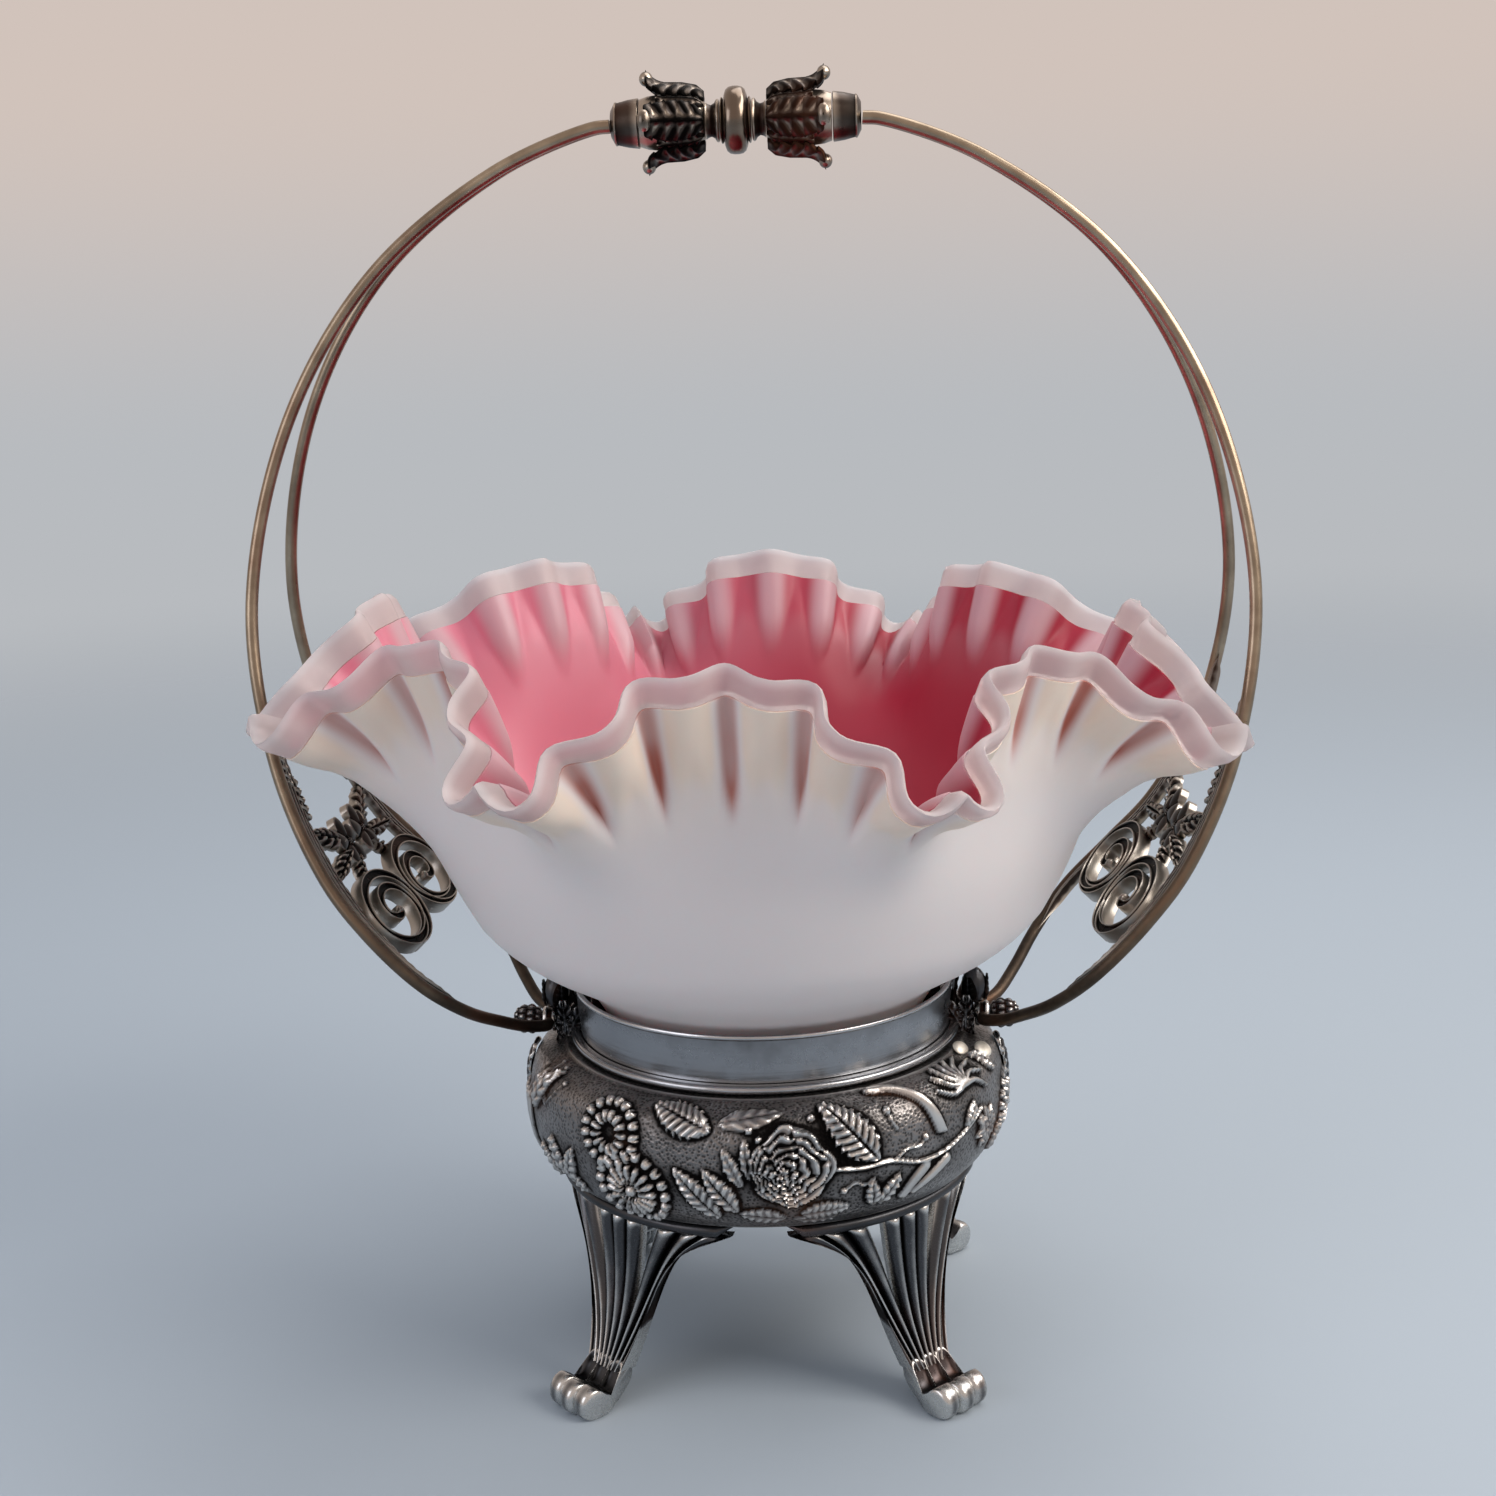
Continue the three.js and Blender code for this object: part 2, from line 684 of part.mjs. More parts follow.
// A pointed leaf from one place on the flat panel to another.
function leaf(from, to, width) {
  const run = new THREE.Vector2(to[0] - from[0], to[1] - from[1]);
  const side = new THREE.Vector2(-run.y, run.x).normalize().multiplyScalar(width / 2);
  const along = [[0, 0.25], [0.3, 0.9], [0.55, 1], [0.8, 0.6], [1, 0.1]];
  const left = along.map(([t, w]) => [from[0] + run.x * t + side.x * w, from[1] + run.y * t + side.y * w]);
  const right = along.map(([t, w]) => [from[0] + run.x * t - side.x * w, from[1] + run.y * t - side.y * w]);
  return toSolid(prism([...left, ...right.reverse()], -panelDepth / 2, panelDepth / 3));
}

function panelGeometry() {
  const stations = hoopStations();
  const runAtHeight = (share) => stations.find((s) => s.z >= mix(pivotZ, gripZ, share)).run;
  const start = runAtHeight(panelStart);
  const end = runAtHeight(panelEnd);
  const scrollRun = runAtHeight(scrollPlace);
  const flowerRun = runAtHeight(flowerPlace);
  const railEdge = (run) => {
    const { spread, slope } = stationAt(stations, run);
    return spread - (wireRadius + solderGap + railWidth * 0.5) * Math.hypot(1, slope);
  };
  const scrollAcross = railEdge(scrollRun) / 2;
  const scrollRadiusRun = (flowerRun - scrollRun - flowerRadius) * 0.92;
  let panel = null;
  for (const side of [-1, 1]) {
    const stemEnd = flowerRun - flowerRadius * 0.6;
    const scrollEnd = scrollRun + scrollRadiusRun - scrollBand;
    const parts = [
      toSolid(rail(stations, start, end, side)),
      scroll(scrollRun, side * scrollAcross, scrollRadiusRun, scrollAcross + 0.3, side),
      flower(flowerRun, side * flowerRadius * 0.97),
      leaf([flowerRun + 1, side * flowerRadius * 1.3], [flowerRun + 9, side * railEdge(flowerRun + 9)], 6.5),
      leaf([flowerRun - 2, side * flowerRadius * 1.4], [flowerRun - 5, side * railEdge(flowerRun - 5)], 5),
      leaf([stemEnd, side * flowerRadius], [scrollEnd, side * scrollAcross], 4),
    ];
    for (const part of parts) panel = panel ? panel.add(part) : part;
  }
  const geometry = toGeometry(panel);
  const position = geometry.attributes.position;
  for (let i = 0; i < position.count; i += 1) {
    const at = stationAt(stations, position.getX(i));
    const depth = position.getZ(i);
    position.setXYZ(
      i,
      at.x - at.tangentZ * depth,
      position.getY(i),
      at.z + at.tangentX * depth,
    );
  }
  return finish(geometry);
}

// Grip

function gripBead() {
  const outline = [
    [-1, 0], [-1, 0.72], [-0.72, 0.76], [-0.6, 0.7], [-0.42, 0.93], [0, 1],
    [0.42, 0.93], [0.6, 0.7], [0.72, 0.76], [1, 0.72], [1, 0],
  ];
  return turnedAlongX(outline.map(([x, r]) => [x * beadHalfLength, r * beadRadius]), 18);
}

function gripNeck() {
  const outline = [[0, 0], [0, 1], [0.3, 0.88], [0.7, 0.88], [1, 1], [1, 0]];
  return turnedAlongX(outline.map(([x, r]) => [x * neckLength, r * neckRadius]), 16);
}

// A sleeve of four leaves that lap a tube. Their tips curl outward at its outer end.
function gripSleeve() {
  const body = [0.62, 0.92, 1, 1.04, 1, 0.86];
  const flare = [0, 0, 0, 0.12, 0.75, 1];
  const place = [0, 0.12, 0.35, 0.65, 0.9, 1];
  const sides = 16;
  const rings = place.map((share, k) => {
    const points = [];
    for (let i = 0; i < sides; i += 1) {
      const angle = (2 * Math.PI * i) / sides;
      const tip = Math.max(Math.cos(4 * angle), 0);
      const radius = sleeveRadius * body[k] + sleeveFlare * flare[k] * tip * 1.35;
      const [y, z] = [radius * Math.cos(angle), radius * Math.sin(angle)];
      points.push(new THREE.Vector3(share * sleeveLength, y, z));
    }
    return points;
  });
  return lofted(rings, rings[3].map((p) => new THREE.Vector2(p.y, p.z)));
}

function gripFerrule() {
  const outline = [
    [0, 0], [0, ferruleRadius * 0.93], [ferruleLength * 0.12, ferruleRadius],
    [ferruleLength * 0.75, ferruleRadius * 0.92], [ferruleLength, ferruleEndRadius], [ferruleLength, 0],
  ];
  return turnedAlongX(outline, 16);
}

function makeGripHalf(side) {
  const neckX = beadHalfLength + joinGap;
  const sleeveX = neckX + neckLength + joinGap;
  const ferruleX = sleeveX + sleeveLength + joinGap;
  const parts = [
    [piece(`grip_neck_${side}`, gripNeck(), metal(0x7d6f60, 0.3)), neckX],
    [piece(`grip_sleeve_${side}`, gripSleeve(), metal(0x77695b, 0.35)), sleeveX],
    [piece(`grip_ferrule_${side}`, gripFerrule(), metal(0x6f6254, 0.3)), ferruleX],
  ];
  return parts.map(([mesh, x]) => {
    mesh.position.set(x, 0, gripZ);
    return mesh;
  });
}

// Everything on one side of the stand. The left side is the right one turned half round.
function makeSide(side) {
  const group = new THREE.Group();
  const nearWire = side === 'right' ? 'front' : 'back';
  const farWire = side === 'right' ? 'back' : 'front';
  group.add(
    ...makePivots(side),
    ...makeWire(`wire_${nearWire}_${side}`, -1),
    ...makeWire(`wire_${farWire}_${side}`, 1),
    piece(`side_panel_${side}`, panelGeometry(), metal(0x5b5148, 0.42)),
    ...makeGripHalf(side),
  );
  if (side === 'left') group.rotation.z = Math.PI;
  return group;
}

// Bowl

const lobes = notchAngles.length;
const stepsPerCrimp = 4;

// The bowl's outside below the crimps, from its foot up to its shoulder.
function bowlOutline() {
  const foot = collarRadius - collarWall - footClearance;
  const waist = collarRadius + collarFlare - collarWall - waistClearance;
  const waistHeight = collarTopZ - bowlZ + 1;
  const lower = [[0, 0], [0.34, 0.08], [0.6, 0.5]];
  const upper = [[0, 0], [0.2, 0.12], [0.47, 0.27], [0.7, 0.46], [0.88, 0.71], [1, 1]];
  return [
    ...lower.map(([r, z]) => [mix(foot, waist, r), waistHeight * z]),
    ...upper.map(([r, z]) => [mix(waist, shoulderRadius, r), mix(waistHeight, shoulderHeight, z)]),
  ];
}

// The ruffled wall's outside without its crimps. place runs from 0 at one notch to 1 at the next, and up
// from 0 at the shoulder to 1 at the rim.
function wallPoint(lobe, place, up) {
  const from = notchAngles[lobe];
  const to = lobe + 1 < lobes ? notchAngles[lobe + 1] : notchAngles[0] + 360;
  const angle = THREE.MathUtils.degToRad(mix(from, to, place));
  const fromMiddle = Math.abs(2 * place - 1);
  const notch = (0.5 - 0.5 * Math.cos(Math.PI * fromMiddle)) ** notchSharpness;
  const rimRadius = mix(peakRadius, notchRadius, notch);
  const rimHeight = mix(peakHeight, notchHeight, notch);
  const bendRadius = shoulderRadius + mix(peakBend[0], notchBend[0], notch);
  const bendHeight = shoulderHeight + mix(peakBend[1], notchBend[1], notch);
  const bezier = (a, b, c) => (1 - up) ** 2 * a + 2 * up * (1 - up) * b + up ** 2 * c;
  const radius = bezier(shoulderRadius, bendRadius, rimRadius);
  const x = radius * Math.sin(angle);
  const dip = (rimDip * x * smooth(up)) / notchRadius;
  return new THREE.Vector3(
    x,
    -radius * Math.cos(angle),
    bowlZ + bezier(shoulderHeight, bendHeight, rimHeight) - dip,
  );
}

// Places in a lobe that lie evenly along its rim.
function evenPlaces(lobe, count) {
  const fine = 200;
  const run = [0];
  for (let i = 1; i <= fine; i += 1) {
    const step = wallPoint(lobe, i / fine, 1).distanceTo(wallPoint(lobe, (i - 1) / fine, 1));
    run.push(run[i - 1] + step);
  }
  const places = [];
  for (let k = 0; k < count; k += 1) {
    const target = (run[fine] * k) / count;
    const i = Math.max(run.findIndex((length) => length >= target), 1);
    places.push((i - 1 + (target - run[i - 1]) / (run[i] - run[i - 1])) / fine);
  }
  return places;
}

// A point of the crimped wall. share counts the crimps along the lobe, and depth goes into the wall.
function rufflePoint(lobe, place, share, up, depth) {
  const step = 1e-3;
  const point = wallPoint(lobe, place, up);
  const before = wallPoint(lobe, Math.max(place - step, 0), up);
  const across = wallPoint(lobe, Math.min(place + step, 1), up).sub(before);
  const along = wallPoint(lobe, place, up + step).sub(wallPoint(lobe, place, up - step));
  const outward = across.cross(along).normalize();
  const reach = smooth((up - crimpStart) / crimpRun);
  const fullness = mix(crimpTopShare, 1, Math.abs(2 * share - 1) ** crimpGrowth);
  const wave = -Math.cos(2 * Math.PI * crimpsPerLobe * share);
  return point.addScaledVector(outward, crimpDepth * fullness * wave * reach - depth);
}

const bandStart = 1 - edgeBandWidth / (peakHeight - shoulderHeight);

function ruffleRing(up, depth) {
  const steps = crimpsPerLobe * stepsPerCrimp;
  const points = [];
  for (let lobe = 0; lobe < lobes; lobe += 1) {
    evenPlaces(lobe, steps).forEach((place, i) => {
      points.push(rufflePoint(lobe, place, i / steps, up, depth));
    });
  }
  return points;
}

function plainRing(radius, height) {
  const points = [];
  for (let lobe = 0; lobe < lobes; lobe += 1) {
    for (let i = 0; i < crimpsPerLobe; i += 1) {
      const from = notchAngles[lobe];
      const to = lobe + 1 < lobes ? notchAngles[lobe + 1] : notchAngles[0] + 360;
      const angle = THREE.MathUtils.degToRad(mix(from, to, i / crimpsPerLobe));
      points.push(new THREE.Vector3(radius * Math.sin(angle), -radius * Math.cos(angle), bowlZ + height));
    }
  }
  return points;
}

// A closed skin through rings, where the next ring may have more points than the last, or fewer.
function skin(rings) {
  const position = [];
  const index = [];
  const starts = rings.map((points) => {
    const start = position.length / 3;
    for (const p of points) position.push(p.x, p.y, p.z);
    return start;
  });
  for (let k = 0; k + 1 < rings.length; k += 1) {
    const [m, n] = [rings[k].length, rings[k + 1].length];
    const [a, b] = [starts[k], starts[k + 1]];
    let [i, j] = [0, 0];
    while (i < m || j < n) {
      const stepFirst = j >= n || (i < m && (i + 0.5) / m <= (j + 0.5) / n);
      if (stepFirst) index.push(a + (i % m), a + ((i + 1) % m), b + (j % n));
      else index.push(a + (i % m), b + ((j + 1) % n), b + (j % n));
      if (stepFirst) i += 1;
      else j += 1;
    }
  }
  const geometry = new THREE.BufferGeometry();
  geometry.setAttribute('position', new THREE.Float32BufferAttribute(position, 3));
  geometry.setIndex(index);
  return finish(geometry);
}

function bowlGeometry() {
  const outline = bowlOutline();
  const inside = offsetOutline(outline, bowlWall).slice(2);
  const middle = (height) => [new THREE.Vector3(0, 0, bowlZ + height)];
  const levels = [0.3, 0.62, bandStart - joinGap / (peakHeight - shoulderHeight)];
  const floor = bowlWall * 1.6;
  return skin([
    middle(0),
    ...outline.map(([r, h]) => plainRing(r, h)),
    ...levels.map((up) => ruffleRing(up, 0)),
    ...levels.toReversed().map((up) => ruffleRing(up, bowlWall)),
    ...inside.toReversed().map(([r, h]) => plainRing(r, h)),
    plainRing(inside[0][0] * 0.7, floor),
    middle(floor),
  ]);
}

function edgeBandGeometry() {
  const inset = (bowlWall - edgeBandThickness) / 2;
  const first = ruffleRing(bandStart, inset);
  return skin([
    first, ruffleRing(1, inset), ruffleRing(1, inset + edgeBandThickness),
    ruffleRing(bandStart, inset + edgeBandThickness), first,
  ]);
}

function makeBowl() {
  const group = new THREE.Group();
  group.add(
    piece('glass_bowl', bowlGeometry(), glass(0xf2eeee)),
    piece('frosted_edge', edgeBandGeometry(), glass(0xead9da)),
  );
  return group;
}

const basket = new THREE.Group();
const beadOfGrip = piece('grip_bead', gripBead(), metal(0x8a7a68, 0.22));
beadOfGrip.position.z = gripZ;
basket.add(makeLegs(), makeDrum(), makeCollar(), makeSide('right'), makeSide('left'));
basket.add(beadOfGrip, makeBowl());

export default basket;
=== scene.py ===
"""The looks of a brides basket: a silver-plated stand and hoop handle round a ruffled glass bowl."""
import json
import logging
import math
from dataclasses import dataclass
from enum import Enum
from typing import Callable, Sequence

import bpy
import numpy as np
from mathutils import Matrix, Vector


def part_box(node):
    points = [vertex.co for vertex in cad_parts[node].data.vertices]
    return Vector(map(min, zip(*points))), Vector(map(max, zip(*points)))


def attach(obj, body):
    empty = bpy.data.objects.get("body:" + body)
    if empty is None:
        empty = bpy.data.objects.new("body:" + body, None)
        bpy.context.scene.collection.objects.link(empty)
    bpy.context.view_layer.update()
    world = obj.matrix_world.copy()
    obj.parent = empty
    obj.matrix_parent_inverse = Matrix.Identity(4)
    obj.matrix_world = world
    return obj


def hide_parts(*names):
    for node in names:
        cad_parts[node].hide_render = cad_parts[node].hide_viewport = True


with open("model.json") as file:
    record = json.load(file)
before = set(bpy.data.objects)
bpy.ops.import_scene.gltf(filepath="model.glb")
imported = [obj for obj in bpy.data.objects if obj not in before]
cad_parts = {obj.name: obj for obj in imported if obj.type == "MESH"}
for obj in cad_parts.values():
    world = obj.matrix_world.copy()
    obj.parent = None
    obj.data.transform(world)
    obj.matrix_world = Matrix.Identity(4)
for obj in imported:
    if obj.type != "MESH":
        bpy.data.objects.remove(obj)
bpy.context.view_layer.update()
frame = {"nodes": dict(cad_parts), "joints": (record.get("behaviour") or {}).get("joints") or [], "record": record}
LOG = logging.getLogger("brides_basket")
MM = 0.001

Array = np.ndarray
Piece = bpy.types.Object
Finish = bpy.types.Material
Socket = bpy.types.NodeSocket
Tree = bpy.types.NodeTree
Place = Sequence[float]
Rows = Sequence[Place]
Triple = tuple[float, float, float]
Color = Triple


def srgb(red: int, green: int, blue: int) -> Color:
    """Turns a colour as seen on a screen, 0 to 255, into the linear one that a shader takes."""
    return tuple(((c / 255 + 0.055) / 1.055) ** 2.4 if c > 10 else c / 3294.6 for c in (red, green, blue))


def smooth(share: Array) -> Array:
    """Eases a share from 0 to 1."""
    held = np.clip(share, 0.0, 1.0)
    return held * held * (3 - 2 * held)


def mix(start: float, end: float, share: float) -> float:
    """Gives the value a share of the way from start to end."""
    return start + (end - start) * share


def catmull(points: Rows, steps: int) -> Array:
    """Runs a centripetal Catmull-Rom curve through points.

    Args:
        points: The points that it passes through.
        steps: How many steps each stretch between two points takes.

    Returns:
        The curve's points, one row each.
    """
    p = np.asarray(points, float)
    p = np.vstack([2 * p[0] - p[1], p, 2 * p[-1] - p[-2]])
    rows = []
    share = np.linspace(0, 1, steps, endpoint=False)[:, None]
    for i in range(1, len(p) - 2):
        gap = [math.sqrt(max(np.linalg.norm(p[i + k] - p[i + k - 1]), 1e-9)) for k in range(3)]
        leave = (p[i] - p[i - 1]) / gap[0] - (p[i + 1] - p[i - 1]) / (gap[0] + gap[1])
        leave = (leave + (p[i + 1] - p[i]) / gap[1]) * gap[1]
        arrive = (p[i + 1] - p[i]) / gap[1] - (p[i + 2] - p[i]) / (gap[1] + gap[2])
        arrive = (arrive + (p[i + 2] - p[i + 1]) / gap[2]) * gap[1]
        square = -3 * p[i] + 3 * p[i + 1] - 2 * leave - arrive
        cube = 2 * p[i] - 2 * p[i + 1] + leave + arrive
        rows.append(p[i] + leave * share + square * share**2 + cube * share**3)
    rows.append(p[-2][None])
    return np.vstack(rows)


def spread_evenly(points: Array, count: int) -> Array:
    """Places count points at even steps along a line of points."""
    run = running_length(points)
    at = np.linspace(0, run[-1], count)
    return np.column_stack([np.interp(at, run, points[:, k]) for k in range(points.shape[1])])


def running_length(points: Array) -> Array:
    """Gives how far each point of a line lies from its start, along the line."""
    return np.concatenate([[0], np.cumsum(np.linalg.norm(np.diff(points, axis=0), axis=1))])


def unit_rows(vectors: Array) -> Array:
    """Gives vectors, one row each, a length of one."""
    return vectors / np.maximum(np.linalg.norm(vectors, axis=-1), 1e-9)[..., None]


def capped(places: Array) -> Array:
    """Adds the middle of the first and of the last row, so that a [row, place] sheet closes at both."""
    ends = (places[:1], places[-1:])
    first, last = (np.repeat(row.mean(axis=1, keepdims=True), places.shape[1], axis=1) for row in ends)
    return np.concatenate([first, places, last])


def polar(radius: Array, angle: Array, height: Array) -> Array:
    """Gives points round the Z axis, from radii, angles from +X and heights."""
    return grid(radius * np.cos(angle), radius * np.sin(angle), height)


def grid(x: Array, y: Array, z: Array) -> Array:
    """Stacks three coordinates, spread to one shape, into points."""
    return np.stack(np.broadcast_arrays(x, y, z), axis=-1)


def round_front(radius: Array, angle: Array, height: Array) -> Array:
    """Gives points round the Z axis, from radii, angles from the front and heights."""
    return grid(radius * np.sin(angle), -radius * np.cos(angle), height)


def box_mm(node: str) -> tuple[Array, Array]:
    """Gives the low and the high corner of a solid's box, in millimetres."""
    low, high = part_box(node)
    return np.array(low) / MM, np.array(high) / MM


class Axis(Enum):
    """The axis that a turned piece is turned about."""

    X = "X"
    Z = "Z"


class Slot(Enum):
    """The material slots of the record."""

    BRIGHT = "bright_silver"
    DARK = "dark_silver"
    TONED = "toned_silver"
    PLATE = "bare_plate"
    CASED = "cased_glass"
    FROSTED = "frosted_glass"


class Bench:
    """The modelling steps that every piece is made with. Sizes come in as millimetres."""

    @staticmethod
    def clear() -> None:
        """Leaves edit mode and deselects everything."""
        if bpy.context.mode != "OBJECT":
            bpy.ops.object.mode_set(mode="OBJECT")
        bpy.ops.object.select_all(action="DESELECT")

    @staticmethod
    def pick(piece: Piece) -> None:
        """Makes one object the active and only selected one."""
        Bench.clear()
        piece.select_set(True)
        bpy.context.view_layer.objects.active = piece

    @staticmethod
    def weld(piece: Piece, distance: float = 0.002) -> None:
        """Merges points that lie together and turns all faces outward.

        Args:
            piece: The piece to weld.
            distance: How near points merge, in millimetres.
        """
        Bench.pick(piece)
        bpy.ops.object.mode_set(mode="EDIT")
        bpy.ops.mesh.select_all(action="SELECT")
        bpy.ops.mesh.remove_doubles(threshold=distance * MM)
        bpy.ops.mesh.normals_make_consistent(inside=False)
        bpy.ops.object.mode_set(mode="OBJECT")

    @staticmethod
    def shade(piece: Piece, degrees: float = 40) -> None:
        """Shades a piece smooth, with sharp edges past an angle."""
        Bench.pick(piece)
        bpy.ops.object.shade_smooth_by_angle(angle=math.radians(degrees))

    @staticmethod
    def points(piece: Piece) -> Array:
        """Reads a piece's points, in millimetres."""
        flat = np.empty(len(piece.data.vertices) * 3)
        piece.data.vertices.foreach_get("co", flat)
        return flat.reshape(-1, 3) / MM

    @staticmethod
    def place(piece: Piece, points: Array) -> None:
        """Writes a piece's points, in millimetres."""
        piece.data.vertices.foreach_set("co", (points * MM).ravel())
        piece.data.update()

    @staticmethod
    def bend(piece: Piece, shape: Callable[[Array], Array]) -> None:
        """Moves every point of a piece to where a shape function sends it."""
        Bench.place(piece, shape(Bench.points(piece)))

    @staticmethod
    def mark(piece: Piece, name: str, values: Array) -> None:
        """Writes a value for every point as an attribute that materials read."""
        old = piece.data.attributes.get(name)
        attribute = old or piece.data.attributes.new(name, "FLOAT", "POINT")
        attribute.data.foreach_set("value", np.asarray(values, np.float32))

    @staticmethod
    def mark_edges(piece: Piece, gain: float, lift: float | Array = 0.0) -> None:
        """Marks how far each point stands out, from 0 in a hollow past 0.5 on the flat to 1 on an edge.

        Args:
            piece: The piece to mark.
            gain: How strongly a bend in the surface counts.
            lift: What is added all over or at each point, above 0 for a brighter piece.
        """
        mesh = piece.data
        co = Bench.points(piece)
        normals = np.empty(len(mesh.vertices) * 3)
        mesh.vertex_normals.foreach_get("vector", normals)
        normals = normals.reshape(-1, 3)
        ends = np.empty(len(mesh.edges) * 2, int)
        mesh.edges.foreach_get("vertices", ends)
        a, b = ends.reshape(-1, 2).T
        step = co[b] - co[a]
        step /= np.maximum(np.linalg.norm(step, axis=1), 1e-9)[:, None]
        count = np.maximum(np.bincount(np.concatenate([a, b]), minlength=len(co)), 1)
        falls = np.bincount(a, -(normals[a] * step).sum(1), len(co))
        falls += np.bincount(b, (normals[b] * step).sum(1), len(co))
        value = falls / count
        for _ in range(2):
            around = np.bincount(a, value[b], len(co)) + np.bincount(b, value[a], len(co))
            value = 0.5 * value + 0.5 * around / count
        Bench.mark(piece, "edge", np.clip(0.5 + lift + gain * value, 0, 1))

    @staticmethod
    def sheet(name: str, places: Array, marks: dict[str, Array] | None = None) -> Piece:
        """Lays a grid over rows and columns of places and welds its seams and poles.

        Args:
            name: The piece's name.
            places: Its points, as [row, column, xyz] in millimetres.
            marks: Values for each point, as [row, column], by name.

        Returns:
            The new piece.
        """
        rows, columns = places.shape[:2]
        Bench.clear()
        bpy.ops.mesh.primitive_grid_add(x_subdivisions=columns - 1, y_subdivisions=rows - 1, size=1)
        piece = bpy.context.object
        piece.name = name
        flat = Bench.points(piece) * MM
        column = np.rint((flat[:, 0] + 0.5) * (columns - 1)).astype(int)
        row = np.rint((flat[:, 1] + 0.5) * (rows - 1)).astype(int)
        Bench.place(piece, places[row, column])
        for key, values in (marks or {}).items():
            Bench.mark(piece, key, values[row, column])
        Bench.weld(piece)
        return piece

    @staticmethod
    def turned(
        name: str, outline: Rows, segments: int = 64, axis: Axis = Axis.Z
    ) -> Piece:
        """Turns a piece as on a lathe: a circle is extruded and resized from ring to ring of an outline.

        Args:
            name: The piece's name.
            outline: Its rings, as (radius, distance along the axis) in millimetres.
            segments: How many sides each ring has.
            axis: The axis that it is turned about.

        Returns:
            The new piece.
        """
        pole = 0.0005
        rings = [(max(radius, pole), at) for radius, at in outline]
        Bench.clear()
        bpy.ops.mesh.primitive_circle_add(
            vertices=segments, radius=rings[0][0] * MM, location=(0, 0, 0), rotation=(0, 0, 0)
        )
        piece = bpy.context.object
        piece.name = name
        bpy.ops.object.mode_set(mode="EDIT")
        bpy.ops.mesh.select_all(action="SELECT")
        bpy.ops.transform.translate(value=(0, 0, rings[0][1] * MM))
        for (radius, at), (wider, further) in zip(rings, rings[1:]):
            bpy.ops.mesh.extrude_region_move(TRANSFORM_OT_translate={"value": (0, 0, (further - at) * MM)})
            if wider != radius:
                share = wider / radius
                bpy.ops.transform.resize(value=(share, share, 1))
        bpy.ops.object.mode_set(mode="OBJECT")
        if axis is Axis.X:
            Bench.bend(piece, lambda p: np.column_stack([p[:, 2], p[:, 1], -p[:, 0]]))
        Bench.weld(piece)
        return piece

    @staticmethod
    def cord(
        name: str, path: Array, radius: float, swell: Array | None = None, sides: int = 4
    ) -> Piece:
        """Draws a round bar along a path, as a bevelled curve made a mesh.

        Args:
            name: The piece's name.
            path: Its points, one row each, in millimetres.
            radius: Its radius in millimetres.
            swell: A share of the radius for each point.
            sides: The bevel's resolution.

        Returns:
            The new piece.
        """
        Bench.clear()
        bpy.ops.curve.primitive_nurbs_path_add(radius=MM, location=(0, 0, 0))
        piece = bpy.context.object
        piece.name = name
        curve = piece.data
        curve.splines.clear()
        line = curve.splines.new("POLY")
        line.points.add(len(path) - 1)
        line.points.foreach_set("co", np.column_stack([path * MM, np.ones(len(path))]).ravel())
        if swell is not None:
            line.points.foreach_set("radius", np.asarray(swell, float))
        curve.dimensions = "3D"
        curve.bevel_depth = radius * MM
        curve.bevel_resolution = sides
        curve.use_fill_caps = True
        Bench.pick(piece)
        bpy.ops.object.convert(target="MESH")
        piece = bpy.context.object
        Bench.weld(piece)
        return piece

    @staticmethod
    def lump(
        name: str, place: Place, size: Place, turn: Triple = (0, 0, 0)
    ) -> Piece:
        """Adds a small rounded lump.

        Args:
            name: The piece's name.
            place: Its middle in millimetres.
            size: Half of its size along each axis, in millimetres.
            turn: How it is turned about X, Y and Z, in radians.

        Returns:
            The lump.
        """
        Bench.clear()
        bpy.ops.mesh.primitive_uv_sphere_add(segments=24, ring_count=12, radius=MM, location=(0, 0, 0))
        piece = bpy.context.object
        piece.name = name
        piece.scale = size
        piece.rotation_euler = turn
        piece.location = [part * MM for part in place]
        bpy.ops.object.transform_apply()
        return piece

    @staticmethod
    def join(name: str, pieces: Sequence[Piece]) -> Piece:
        """Joins pieces into one object with a name."""
        Bench.clear()
        for piece in pieces:
            piece.select_set(True)
        bpy.context.view_layer.objects.active = pieces[0]
        bpy.ops.object.join()
        whole = bpy.context.object
        whole.name = name
        return whole

    @staticmethod
    def pair(piece: Piece, material: Finish, slot: Slot, body: str, node: str) -> None:
        """Finishes a piece for the right side and turns a copy of it to the left.

        Args:
            piece: The piece, whose name gets the side.
            material: What it is covered with.
            slot: The record's slot that its finish comes from.
            body: The body that it moves with.
            node: The name of its solids without the side.
        """
        stem = piece.name
        piece.name = f"{stem}_right"
        twin = Bench.copy(piece, f"{stem}_left", 180)
        Bench.settle(piece, material, slot, body, f"{node}_right")
        Bench.settle(twin, material, slot, body, f"{node}_left")

    @staticmethod
    def copy(piece: Piece, name: str, turn: float = 0.0) -> Piece:
        """Copies a piece with a mesh of its own, turned about the stand's middle.

        Args:
            piece: The piece to copy.
            name: The copy's name.
            turn: The angle in degrees.

        Returns:
            The copy.
        """
        Bench.pick(piece)
        bpy.ops.object.duplicate()
        twin = bpy.context.object
        twin.name = name
        twin.data.transform(Matrix.Rotation(math.radians(turn), 4, "Z"))
        return twin

